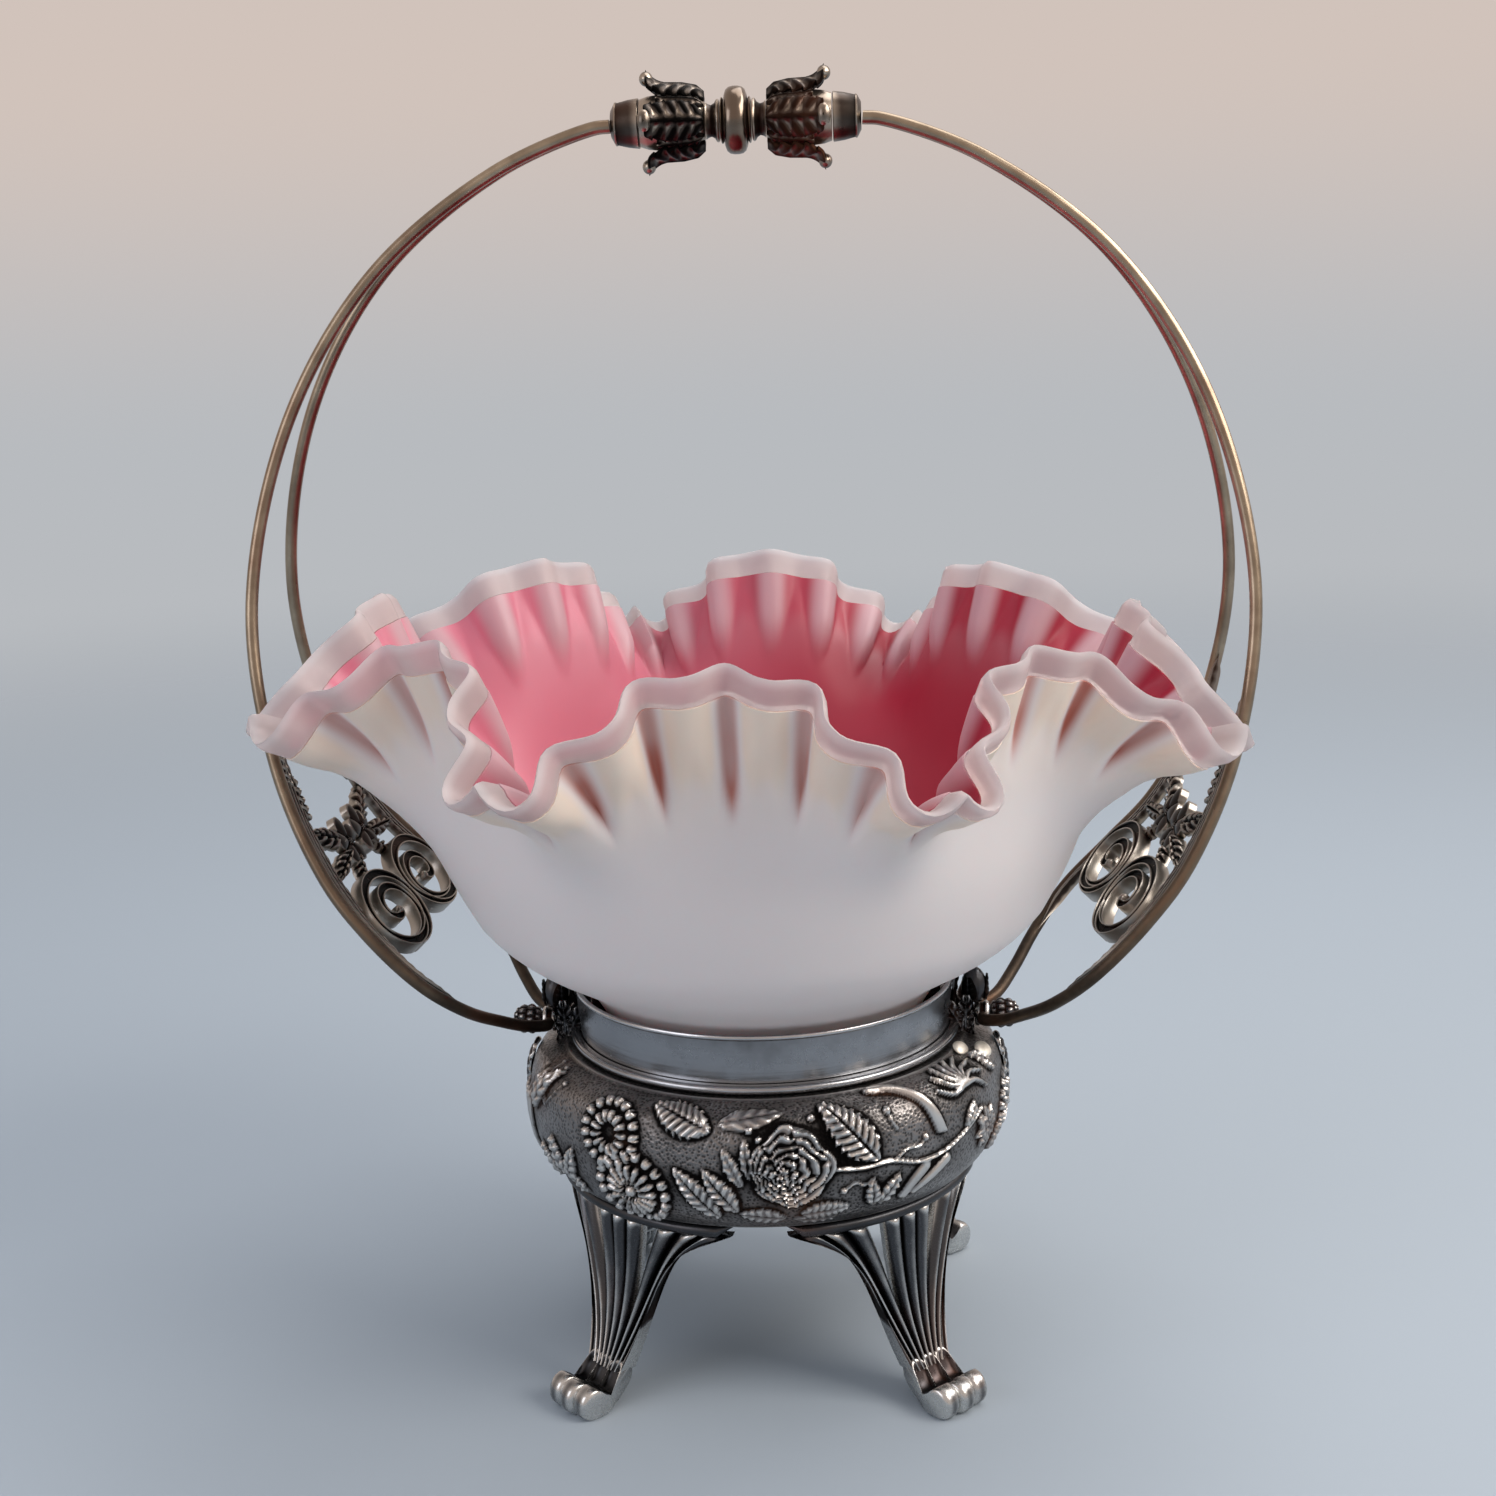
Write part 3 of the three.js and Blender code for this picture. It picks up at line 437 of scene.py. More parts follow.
    @staticmethod
    def settle(
        piece: Piece, material: Finish, slot: Slot, body: str, *nodes: str
    ) -> Piece:
        """Gives a finished piece its material and body, and hides the solids that it stands for.

        Args:
            piece: The finished piece.
            material: What it is covered with.
            slot: The record's slot that its finish comes from. Not used.
            body: The body that it moves with.
            nodes: The solids that it replaces.

        Returns:
            The piece.
        """
        piece.data.materials.clear()
        piece.data.materials.append(material)
        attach(piece, body)
        if nodes:
            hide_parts(*nodes)
        LOG.info("%s: %d points on %s", piece.name, len(piece.data.vertices), body)
        return piece


class Graph:
    """A material's nodes, with short calls that add and link them."""

    def __init__(self, tree: Tree) -> None:
        """Works on a node tree."""
        self.tree = tree

    def add(self, kind: str, inputs: dict | None = None, **settings: object) -> bpy.types.Node:
        """Adds a node. An input may be a value or another node's output.

        Args:
            kind: The node's type.
            inputs: Values or outputs for its sockets, by name or number.
            settings: Its other settings.

        Returns:
            The node.
        """
        node = self.tree.nodes.new(kind)
        for key, value in settings.items():
            setattr(node, key, value)
        for key, value in (inputs or {}).items():
            if isinstance(value, Socket):
                self.tree.links.new(value, node.inputs[key])
            else:
                node.inputs[key].default_value = value
        return node

    def math(self, operation: str, first: object, second: object = 0.0, clamp: bool = False) -> Socket:
        """Adds a Math node and gives its output."""
        node = self.add("ShaderNodeMath", {0: first, 1: second}, operation=operation, use_clamp=clamp)
        return node.outputs[0]

    def varied(self, base: object, grain: Socket, amount: float, clamp: bool = False) -> Socket:
        """Varies a value by an amount, up and down with a noise."""
        shift = self.math("MULTIPLY", self.math("SUBTRACT", grain, 0.5), amount)
        return self.math("ADD", base, shift, clamp)

    def ramp(
        self, value: object, low: float, high: float, to_low: float = 0.0, to_high: float = 1.0
    ) -> Socket:
        """Maps a value from one range to another, held at the ends."""
        inputs = {"Value": value, 1: low, 2: high, 3: to_low, 4: to_high}
        return self.add("ShaderNodeMapRange", inputs, interpolation_type="SMOOTHSTEP").outputs[0]

    def blend(self, share: object, first: object, second: object) -> Socket:
        """Mixes two colours and gives the result."""
        node = self.add("ShaderNodeMix", data_type="RGBA")
        for key, value in ((0, share), (6, first), (7, second)):
            if isinstance(value, Socket):
                self.tree.links.new(value, node.inputs[key])
            else:
                node.inputs[key].default_value = (*value, 1.0) if isinstance(value, tuple) else value
        return node.outputs[2]

    def noise(self, scale: float, detail: float, stretch: Color = (1, 1, 1)) -> Socket:
        """Adds noise in the piece's own space and gives its value.

        Args:
            scale: Its scale, in cells per metre.
            detail: Its levels of detail.
            stretch: How much finer it is along X, Y and Z.

        Returns:
            The noise's value.
        """
        mapping = self.add("ShaderNodeMapping", {"Vector": self.place(), "Scale": stretch})
        inputs = {"Vector": mapping.outputs[0], "Scale": scale, "Detail": detail, "Roughness": 0.6}
        return self.add("ShaderNodeTexNoise", inputs).outputs[0]

    def place(self) -> Socket:
        """Gives the place in the piece's own space."""
        return self.add("ShaderNodeTexCoord").outputs["Object"]

    def attribute(self, name: str) -> Socket:
        """Reads one of the piece's own marks."""
        return self.add("ShaderNodeAttribute", attribute_name=name).outputs["Fac"]

    def cover(
        self, shader: bpy.types.Node, color: Socket, rough: Socket,
        height: Socket, strength: float, depth: float,
    ) -> None:
        """Links a surface's colour, roughness and bumps to its shader.

        Args:
            shader: The shader.
            color: Its colour.
            rough: Its roughness.
            height: The height of its bumps.
            strength: How strongly they count.
            depth: How deep they are, in metres.
        """
        bump = self.add("ShaderNodeBump", {"Height": height, "Strength": strength, "Distance": depth})
        for name, value in (("Base Color", color), ("Roughness", rough), ("Normal", bump.outputs[0])):
            self.tree.links.new(value, shader.inputs[name])


def new_material(name: str) -> tuple[Finish, Graph, bpy.types.Node]:
    """Starts a material, and gives it with its graph and its shader."""
    material = bpy.data.materials.new(name)
    material.use_nodes = True
    return material, Graph(material.node_tree), material.node_tree.nodes["Principled BSDF"]


def new_group(
    name: str, inputs: dict[str, object], outputs: dict[str, str]
) -> tuple[Tree, Graph]:
    """Starts a shader node group with named sockets.

    Args:
        name: The group's name.
        inputs: Its inputs' default values, by name.
        outputs: Its outputs' socket types, by name.

    Returns:
        The group and its graph.
    """
    tree = bpy.data.node_groups.new(name, "ShaderNodeTree")
    for key, value in inputs.items():
        kind = "NodeSocketColor" if isinstance(value, tuple) else "NodeSocketFloat"
        socket = tree.interface.new_socket(name=key, in_out="INPUT", socket_type=kind)
        socket.default_value = (*value, 1.0) if isinstance(value, tuple) else value
    for key, kind in outputs.items():
        tree.interface.new_socket(name=key, in_out="OUTPUT", socket_type=kind)
    return tree, Graph(tree)


def patina_group() -> Tree:
    """Builds the shared patina: dark in the hollows, rubbed bright on what stands out, with brown tarnish; on the
    drum, the legs and the wires its dark and bright also carry painted shade and painted highlight.

    Returns:
        The group. It reads the mark named edge.
    """
    inputs = {
        "Bright": (0.5, 0.5, 0.5), "Middle": (0.2, 0.2, 0.2), "Dark": (0.02, 0.02, 0.02),
        "Tarnish": (0.2, 0.1, 0.05), "Tarnish amount": 0.3, "Roughness": 0.35,
    }
    outputs = {"Color": "NodeSocketColor", "Roughness": "NodeSocketFloat", "Height": "NodeSocketFloat"}
    tree, graph = new_group("patina", inputs, outputs)
    given = graph.add("NodeGroupInput").outputs
    grain = graph.noise(900, 3)
    level = graph.varied(graph.attribute("edge"), graph.noise(55, 4), 0.35)
    # Darkens where the edge mark is low: tarnish in the hollows, and painted shade where the mark carries it.
    grime_and_shade = graph.ramp(level, 0.2, 0.52)
    color = graph.blend(grime_and_shade, given["Dark"], given["Middle"])
    color = graph.blend(graph.ramp(level, 0.55, 0.85), color, given["Bright"])
    patch = graph.math("MULTIPLY", graph.ramp(graph.noise(28, 3), 0.5, 0.72), given["Tarnish amount"])
    color = graph.blend(patch, color, given["Tarnish"])
    dull = graph.math("MULTIPLY", graph.math("SUBTRACT", 1.0, grime_and_shade), 0.3)
    rough = graph.varied(graph.math("ADD", given["Roughness"], dull), grain, 0.14, clamp=True)
    graph.add("NodeGroupOutput", {"Color": color, "Roughness": rough, "Height": grain})
    return tree


@dataclass(frozen=True)
class SilverFinish:
    """A silver-plated finish: three tones, tarnish and the brush marks of its polishing."""

    name: str
    bright: Color
    middle: Color
    dark: Color
    tarnish: Color = srgb(104, 66, 48)
    tarnish_amount: float = 0.3
    roughness: float = 0.3
    brush: Color | None = None
    brush_depth: float = 0.00002
    stipple: float = 0.0
    stipple_scale: float = 1150.0

    def build(self, patina: Tree) -> Finish:
        """Builds the material from the shared patina group."""
        material, graph, shader = new_material(self.name)
        shader.inputs["Metallic"].default_value = 1.0
        group = graph.add("ShaderNodeGroup", node_tree=patina)
        tones = {"Bright": self.bright, "Middle": self.middle, "Dark": self.dark, "Tarnish": self.tarnish}
        for key, tone in tones.items():
            group.inputs[key].default_value = (*tone, 1)
        group.inputs["Tarnish amount"].default_value = self.tarnish_amount
        group.inputs["Roughness"].default_value = self.roughness
        color = group.outputs["Color"]
        height = graph.math("MULTIPLY", group.outputs["Height"], 0.25)
        if self.brush:
            height = graph.math("ADD", height, graph.noise(60, 5, self.brush))
        if self.stipple:
            ground = graph.math("SUBTRACT", 1.0, graph.attribute("raised"))
            grid_of_dots = {"Vector": graph.place(), "Scale": self.stipple_scale}
            cells = graph.add("ShaderNodeTexVoronoi", grid_of_dots)
            dots = graph.math("MULTIPLY", cells.outputs["Distance"], ground)
            height = graph.math("ADD", height, graph.math("MULTIPLY", dots, self.stipple))
            pits = graph.math("MULTIPLY", graph.ramp(dots, 0.55, 0.22, 0.0, 0.7), ground)
            color = graph.blend(pits, color, self.dark)
        graph.cover(shader, color, group.outputs["Roughness"], height, 0.6, self.brush_depth)
        return material


@dataclass(frozen=True)
class GlassFinish:
    """Satin glass: a white casing outside and a raspberry lining inside, thin and pale over the crimps, with
    painted shade in the outer valleys and a lining painted lighter towards -X and darker towards +X.
    """

    casing: Color = srgb(238, 229, 226)
    cream: Color = srgb(244, 225, 208)
    # The valleys' brownish pink: partly the lining showing through the thin wall, partly painted shade.
    valley_tint_and_shade_color: Color = srgb(188, 104, 86)
    # The lining's painted shade, used towards +X; the lining colour below is the painted lighter side, towards -X.
    lining_shaded_side: Color = srgb(172, 40, 64)
    lining: Color = srgb(226, 134, 154)
    lining_pale: Color = srgb(210, 174, 180)
    roughness: float = 0.46

    def build(self) -> Finish:
        """Builds the material. It reads the marks lining, crimp and up."""
        material, graph, shader = new_material("cased_satin_glass")
        crimp = graph.attribute("crimp")
        up = graph.attribute("up")
        uneven = graph.ramp(graph.noise(26, 2), 0.35, 0.62, 0.55, 1.0)
        # Partly painted shade: the casing is painted a darker brownish pink in the crimp valleys.
        valley_tint_and_shade = graph.math("MULTIPLY", graph.ramp(crimp, 0.0, -0.9), uneven)
        ridge = graph.math("MULTIPLY", graph.ramp(crimp, -0.3, 0.4), graph.ramp(up, 0.22, 0.6))
        outside = graph.blend(valley_tint_and_shade, graph.blend(ridge, self.casing, self.cream), self.valley_tint_and_shade_color)
        # Painted light and shade: the lining is painted lighter towards -X and darker towards +X.
        across = graph.add("ShaderNodeSeparateXYZ", {0: graph.place()}).outputs["X"]
        across = graph.math("ADD", across, graph.math("MULTIPLY", graph.noise(22, 3), 0.03))
        inside = graph.blend(graph.ramp(across, 0.06, -0.075), self.lining_shaded_side, self.lining)
        pale = graph.math("MULTIPLY", graph.ramp(crimp, 0.35, -0.9), graph.ramp(up, 0.3, 0.7, 0.0, 0.9))
        inside = graph.blend(pale, inside, self.lining_pale)
        grain = graph.noise(1400, 2)
        color = graph.blend(graph.attribute("lining"), outside, inside)
        graph.cover(shader, color, graph.varied(self.roughness, grain, 0.12), grain, 0.25, 0.00003)
        shader.inputs["Subsurface Weight"].default_value = 0.18
        shader.inputs["Subsurface Radius"].default_value = (1.0, 0.5, 0.45)
        shader.inputs["Subsurface Scale"].default_value = 0.004
        shader.inputs["Specular IOR Level"].default_value = 0.42
        return material


@dataclass(frozen=True)
class FrostFinish:
    """The clear glass of the crimped edge, etched to a frost that lets some light through."""

    color: Color = srgb(236, 224, 222)
    cloudy: Color = srgb(226, 211, 211)
    # The lighter colour of the top edge, a painted highlight.
    rim: Color = srgb(246, 240, 240)
    roughness: float = 0.5

    def build(self) -> Finish:
        """Builds the material. It reads the mark rim."""
        material, graph, shader = new_material("frosted_clear_glass")
        body = graph.blend(graph.ramp(graph.noise(40, 3), 0.3, 0.7), self.color, self.cloudy)
        grain = graph.noise(1600, 2)
        # Painted highlight: the top edge is lighter.
        color = graph.blend(graph.attribute("rim"), body, self.rim)
        graph.cover(shader, color, graph.varied(self.roughness, grain, 0.1), grain, 0.3, 0.00003)
        shader.inputs["Transmission Weight"].default_value = 0.6
        shader.inputs["IOR"].default_value = 1.3
        return material


@dataclass
class RuffledBowl:
    """The bowl: a smooth cased body whose wall is folded into lobes and crimped up to a frosted edge."""

    wall: float = 3.0
    foot: float = 36.0
    waist: float = 48.0
    waist_height: float = 14.6
    shoulder: float = 85.0
    shoulder_height: float = 55.0
    peak_radius: float = 100.5
    peak_height: float = 113.5
    notch_radius: float = 131.5
    notch_height: float = 87.0
    notch_angles: tuple[float, ...] = (-160, -115, -66.5, -24, 22.5, 65.5, 115, 159.5)
    crimps: int = 6
    crimp_depth: float = 4.4
    top_depth: float = 0.5
    band_width: float = 6.5
    rim_dip: float = 4.0
    steps_per_crimp: int = 14

    def __post_init__(self) -> None:
        """Takes the bowl's level from its solid."""
        self.level = box_mm("glass_bowl")[0][2]

    def wall_points(self, up: Array) -> tuple[Array, Array, Array]:
        """Works out the wall's outside without its crimps.

        Args:
            up: Levels from 0 at the shoulder to 1 at the rim.

        Returns:
            The points as [level, place, xyz], each place's crimp from -1 to 1, and how deep the crimps are.
        """
        steps = np.arange(self.crimps * self.steps_per_crimp)
        across = steps / len(steps)
        share = np.linspace(0, 1, 241)
        places = []
        angles = [*self.notch_angles, self.notch_angles[0] + 360]
        for start, end in zip(angles, angles[1:]):
            run = running_length(self.lobe_points(start, end, share, np.array([1.0]))[0])
            even = mix(np.interp(across * run[-1], run, share), across, 0.45)
            places.append(self.lobe_points(start, end, even, up))
        points = np.concatenate([*places, places[0][:, :1]], axis=1)
        phase = np.tile(-np.cos(2 * np.pi * (steps / self.steps_per_crimp)), len(places))
        depth = np.tile(mix(self.top_depth, 1.0, np.abs(2 * across - 1) ** 1.4), len(places))
        return points, np.append(phase, phase[0]), np.append(depth, depth[0])

    def lobe_points(self, start: float, end: float, share: Array, up: Array) -> Array:
        """Works out one lobe of the wall, from one notch to the next.

        Args:
            start: The first notch's angle in degrees from the front.
            end: The next notch's angle.
            share: Places across the lobe, from 0 to 1.
            up: Levels from 0 at the shoulder to 1 at the rim.

        Returns:
            The points as [level, place, xyz].
        """
        angle = np.radians(mix(start, end, share))[None]
        notch = (0.5 - 0.5 * np.cos(np.pi * np.abs(2 * share - 1)))[None] ** 1.9
        level = up[:, None]
        shares = ((1 - level) ** 2, 2 * level * (1 - level), level**2)
        radii = (
            self.shoulder,
            mix(self.shoulder + 4, self.shoulder + 14, notch),
            mix(self.peak_radius, self.notch_radius, notch),
        )
        heights = (
            self.shoulder_height,
            mix(self.shoulder_height + 32, self.shoulder_height + 23, notch),
            mix(self.peak_height, self.notch_height, notch),
        )
        radius = sum(part * value for part, value in zip(shares, radii))
        height = sum(part * value for part, value in zip(shares, heights))
        dip = self.rim_dip * radius * np.sin(angle) * smooth(level) / self.notch_radius
        return round_front(radius, angle, self.level + height - dip)

    def body_outline(self, count: int) -> Array:
        """Gives the outline from the foot up to the shoulder, as (radius, height) rows."""
        base, waist, height = self.foot, self.waist, self.waist_height
        points = [
            (base, 0), (mix(base, waist, 0.34), 1.0), (mix(base, waist, 0.6), height * 0.5),
            (waist, height),
            *(
                (mix(waist, self.shoulder, r), mix(height, self.shoulder_height, z))
                for r, z in ((0.2, 0.12), (0.47, 0.27), (0.7, 0.46), (0.88, 0.71), (1, 1))
            ),
        ]
        return spread_evenly(catmull(points, 12), count)

    def surface(self) -> tuple[Array, Array, Array]:
        """Works out the middle of the glass, crimped, from the foot up to the rim.

        Returns:
            The points as [row, place, xyz], the crimp marks and the up marks as [row, place].
        """
        up = np.linspace(0, 1, 34)[1:]
        wall, phase, depth = self.wall_points(up)
        outline = self.body_outline(22)
        angle = np.arctan2(wall[0, :, 0], -wall[0, :, 1])
        body = round_front(outline[:, :1], angle, self.level + outline[:, 1:])
        points = np.concatenate([body, wall])
        start = len(outline)
        rows = slice(start - 7, start + 7)
        for _ in range(14):
            soft = 0.25 * points[:-2] + 0.5 * points[1:-1] + 0.25 * points[2:]
            points[1:-1][rows] = soft[rows]
        level = np.concatenate([np.linspace(-1, 0, start), up])[:, None]
        hollow = (1 - phase) / 2
        front = np.exp(-((np.degrees(angle) / 26) ** 2))
        reach = smooth((level - (mix(0.6, 0.42, hollow) - 0.12 * front)[None]) / 0.27)
        turn = np.linspace(0, 2 * np.pi, len(phase))
        uneven = 1 + 0.1 * np.sin(5 * turn + 0.7) + 0.08 * np.sin(11 * turn + 2.1)
        crimp = ((0.86 - 1.9 * hollow**1.3) * uneven)[None] * reach
        push = crimp * depth * self.crimp_depth - self.wall / 2
        middle = points + self.outward(points) * push[..., None]
        return middle, crimp, np.broadcast_to(level, crimp.shape)

    @staticmethod
    def outward(points: Array) -> Array:
        """Gives the outward direction at each point of a [row, place] surface that closes on itself."""
        ring = points[:, :-1]
        across = np.roll(ring, -1, axis=1) - np.roll(ring, 1, axis=1)
        normal = unit_rows(np.cross(across, np.gradient(ring, axis=0)))
        return np.concatenate([normal, normal[:, :1]], axis=1)

    def build(self, cased: Finish, frosted: Finish) -> None:
        """Builds the bowl and its frosted edge.

        Args:
            cased: The cased glass.
            frosted: The frosted glass.
        """
        middle, crimp, up = self.surface()
        normal = self.outward(middle)
        height = self.peak_height - self.shoulder_height
        first = int(np.searchsorted(up[:, 0], 1 - self.band_width / height)) - 1
        kept = slice(first + 1)
        half = self.wall / 2
        outside = middle[kept] + normal[kept] * half
        outside[0, :, 2] = self.level
        inside = (middle[kept] - normal[kept] * half)[::-1]
        inside = inside[(inside[..., 2] > self.level + self.wall * 1.5).all(axis=1)]
        axis_foot, axis_floor, floor = (inside[-1:] * share for share in (0, 0, 0.7))
        axis_foot[..., 2] = self.level
        axis_floor[..., 2] = floor[..., 2] = self.level + self.wall * 1.6

        def spread(values: Array) -> Array:
            """Gives each place of the bowl the value of its place in the wall."""
            part = values[kept]
            return np.concatenate([values[:1], part, part[::-1][: len(inside)], values[:1], values[:1]])

        lining = np.zeros((first + len(inside) + 4, middle.shape[1]))
        lining[first + 2 :] = 1
        places = np.concatenate([axis_foot, outside, inside, floor, axis_floor])
        marks = {"crimp": spread(crimp), "up": spread(up), "lining": lining}
        bowl = Bench.sheet("ruffled_bowl", places, marks)
        Bench.shade(bowl, 80)
        Bench.settle(bowl, cased, Slot.CASED, "bowl", "glass_bowl")
        self.build_band(middle[first:], normal[first:], frosted)

    def build_band(self, middle: Array, normal: Array, frosted: Finish) -> None:
        """Builds the frosted edge above the casing.

        Args:
            middle: The middle of the glass in the band's rows.
            normal: The outward directions there.
            frosted: The frosted glass.
        """
        half = self.wall / 2 - 0.25
        rounding = np.clip((np.linspace(0, 1, len(middle)) - 0.8) / 0.2, 0, 1)
        thick = half * np.sqrt(np.clip(1 - rounding**2 * 0.75, 0, 1))[:, None, None]
        outside = middle + normal * thick
        inside = (middle - normal * thick)[::-1]
        top = middle[-1:] + (middle[-1:] - middle[-2:-1]) * 0.35
        foot = middle[0] + (middle[1] - middle[0]) * 0.1
        outside[0] = foot + normal[0] * half
        inside[-1] = foot - normal[0] * half
        places = np.concatenate([outside, top, inside, outside[:1]])
        # Marks the top edge rows for the painted highlight.
        rim = np.zeros(places.shape[:2])
        rim[len(outside) - 1 : len(outside) + 2] = 1
        band = Bench.sheet("frosted_rim", places, {"rim": rim})
        Bench.shade(band, 70)
        Bench.settle(band, frosted, Slot.FROSTED, "bowl", "frosted_edge")


@dataclass
class Ornament:
    """Heights of raised ornament at places across (x) and up (y) a flat patch, in millimetres."""

    x: Array
    y: Array

    def polar(self, place: Place) -> tuple[Array, Array]:
        """Gives the distance and the direction from a place to each place of the patch."""
        across, up = self.x - place[0], self.y - place[1]
        return np.hypot(across, up), np.arctan2(up, across)

    def leaf(
        self, start: Place, end: Place, width: float, teeth: int = 0, rise: float = 0.9
    ) -> Array:
        """Raises a leaf with a midrib and side veins.

        Args:
            start: The leaf's foot.
            end: Its tip.
            width: Half of its width.
            teeth: How many teeth each edge has.
            rise: How high it stands.

        Returns:
            The height at each place.
        """
        run = np.array([end[0] - start[0], end[1] - start[1]], float)
        length = float(np.hypot(*run))
        run /= length
        across, up = self.x - start[0], self.y - start[1]
        u = (across * run[0] + up * run[1]) / length
        v = np.abs(up * run[0] - across * run[1])
        held = np.clip(u, 0, 1)
        half = 1.22 * width * np.sin(np.pi * held**0.85) ** 0.8
        if teeth:
            half = half * (0.78 + 0.22 * (1 - (held * teeth) % 1))
        inside = smooth((half - v) / 0.5) * ((u > 0) & (u < 1))
        dome = 0.6 + 0.4 * np.sqrt(np.clip(1 - (v / np.maximum(half, 0.1)) ** 2, 0, 1))
        rib = 0.5 * np.exp(-((v / 0.34) ** 2))
        vein = 0.26 * np.cos(2 * np.pi * (u * max(teeth, 5) - v * 0.28)) * np.clip(v / 0.8, 0, 1)
        return rise * inside * (dome - rib + vein)

    def ribbon(
        self, points: Rows, width: float, rise: float = 0.6, taper: float = 0.0
    ) -> Array:
        """Raises a rounded ridge along a curve, for stems and long petals.

        Args:
            points: The curve's points.
            width: Half of its width.
            rise: How high it stands.
            taper: How much narrower it gets by its end.

        Returns:
            The height at each place.
        """
        path = catmull(points, 6)
        height = np.zeros_like(self.x)
        for i, (a, b) in enumerate(zip(path, path[1:])):
            run = b - a
            across, up = self.x - a[0], self.y - a[1]
            t = np.clip((across * run[0] + up * run[1]) / max(run @ run, 1e-9), 0, 1)
            away = np.hypot(across - run[0] * t, up - run[1] * t)
            half = width * (1 - taper * (i + t) / (len(path) - 1))
            height = np.maximum(height, rise * np.sqrt(np.clip(1 - (away / half) ** 2, 0, 1)))
        return height

    def berry(self, place: Place, radius: float, rise: float = 0.9) -> Array:
        """Raises a round berry."""
        away = self.polar(place)[0] / radius
        return rise * np.sqrt(np.clip(1 - away**2, 0, 1))

    def petals(
        self, place: Place, inner: float, outer: float, count: int, rise: float = 1.0,
        split: float = 0.0,
    ) -> Array:
        """Raises a ring of petals.

        Args:
            place: The ring's middle.
            inner: Its inner radius.
            outer: Its outer radius.
            count: How many petals it has.
            rise: How high they stand.
            split: How deeply each petal's end is notched.

        Returns:
            The height at each place.
        """
        away, turn = self.polar(place)
        lobe = np.abs(np.cos(count * turn / 2))
        reach = outer - (outer - inner) * 0.4 * (1 - lobe) ** 1.5 - split * (lobe > 0.985)
        start = inner + (outer - inner) * 0.2 * (1 - lobe)
        body = smooth((away - start) / 0.8) * smooth((reach - away) / 0.8)
        return rise * body * smooth((lobe - 0.22) * 1.9)

    def rose(self, place: Place, radius: float, rise: float = 1.7) -> Array:
        """Raises a full rose whose ruffled petals wrap a heart set low and to one side.

        Args:
            place: The rose's middle.
            radius: Its radius.
            rise: How high it stands.

        Returns:
            The height at each place.
        """
        layers = 6
        left, down = 0.26, 0.2
        away, turn = self.polar((place[0] - left * radius, place[1] - down * radius))
        lean = -(left * np.cos(turn) + down * np.sin(turn)) * radius
        edge = -lean + np.sqrt(np.maximum(radius**2 - (0.33 * radius) ** 2 + lean**2, 1e-6))
        share = away / (edge * (1 + 0.05 * np.sin(5 * turn + 1) + 0.03 * np.sin(9 * turn)))
        wave = share + 0.05 * np.sin(3 * turn + 5 * share) + 0.022 * np.sin(11 * turn + 8 * share)
        layer = np.floor(wave * layers)
        part = wave * layers - layer
        lip = part**1.6 * smooth((1 - part) / 0.16)
        gap = np.abs(np.sin((1.5 + layer * 0.5) * turn + layer * 2.1))
        body = smooth((1.02 - share) / 0.07)
        return rise * body * (0.3 + 0.3 * (1 - share) + 0.62 * lip) * (0.55 + 0.45 * smooth(gap * 3))


# The drum's ornament, in millimetres round it from the front and up from its foot.
# Rings of petals: middle, inner and outer radius, petals, rise, notch.
PETAL_RINGS = (
    ((-39.7, 27.0), 6.3, 9.6, 17, 1.1, 0.5), ((-39.7, 27.0), 2.2, 6.0, 13, 1.2),
    ((-33.5, 12.8), 8.2, 11.4, 19, 1.1, 0.5), ((-33.5, 12.8), 1.7, 7.7, 16, 1.3),
    ((93, 17), 1.6, 6.6, 14, 1.2), ((93, 17), 7.0, 9.8, 17, 1.0, 0.5),
)
# Berries: middle, radius, rise.
BERRIES = (
    ((-33.5, 12.8), 1.7, 1.5), ((-1.5, 31.5), 0.9), ((0.8, 29.3), 0.8), ((14.6, 34.0), 0.9),
    ((35.2, 32.8), 1.1), ((45.4, 23.6), 0.9), ((22, 14.3), 0.8), ((93, 17), 1.6, 1.4),
)
# Leaves: foot, tip, half width, teeth, rise.
LEAVES = (
    ((-11.2, 31.0), (-28.5, 37.0), 4.2, 9), ((-9.5, 33.0), (8, 36.3), 2.6, 0, 0.5),
    ((-8.5, 31.5), (-2, 38.5), 1.6, 0, 0.4), ((-9.3, 7.8), (-21, 21.5), 3.1, 8),
    ((-4.6, 9.8), (-13.5, 21.8), 2.8, 7), ((-3.5, 17), (-8.4, 27.5), 1.9, 4, 0.6),
    ((-1.5, 19), (-2.8, 30), 1.7, 4, 0.6), ((11, 8.6), (24.5, 9.6), 2.6, 8, 0.7),
    ((7.5, 7.4), (-5, 9.2), 2.4, 6, 0.6), ((9, 6.6), (22, 5.8), 1.5, 0, 0.5),
    ((31.2, 21.2), (17.0, 38.0), 4.6, 10, 1.1), ((30.5, 8.0), (29.5, 16.5), 2.0, 5),
    ((31.8, 8.2), (37.8, 16.5), 2.0, 5), ((66, 27), (60.5, 21.5), 1.5), ((68, 22.5), (72, 13.5), 1.7),
    ((-77, 22.5), (-66, 37.5), 2.0, 0, 1.0), ((-79, 22), (-73.5, 36), 1.3, 0, 0.8),
    ((-61, 9), (-65, 20), 2.4, 5), ((-58.5, 8), (-54, 19.5), 2.4, 5), ((-66, 6.5), (-74, 15), 2.2, 4),
    ((-52, 5.8), (-58, 12), 1.8, 4), ((83, 30), (76, 38), 2.6, 7), ((86, 31), (95, 36.5), 2.8, 7),
    ((79, 8), (84, 15), 2.0, 5), ((103, 8), (107.5, 20), 2.6, 7), ((105, 30), (99, 22.5), 2.2, 5),
)
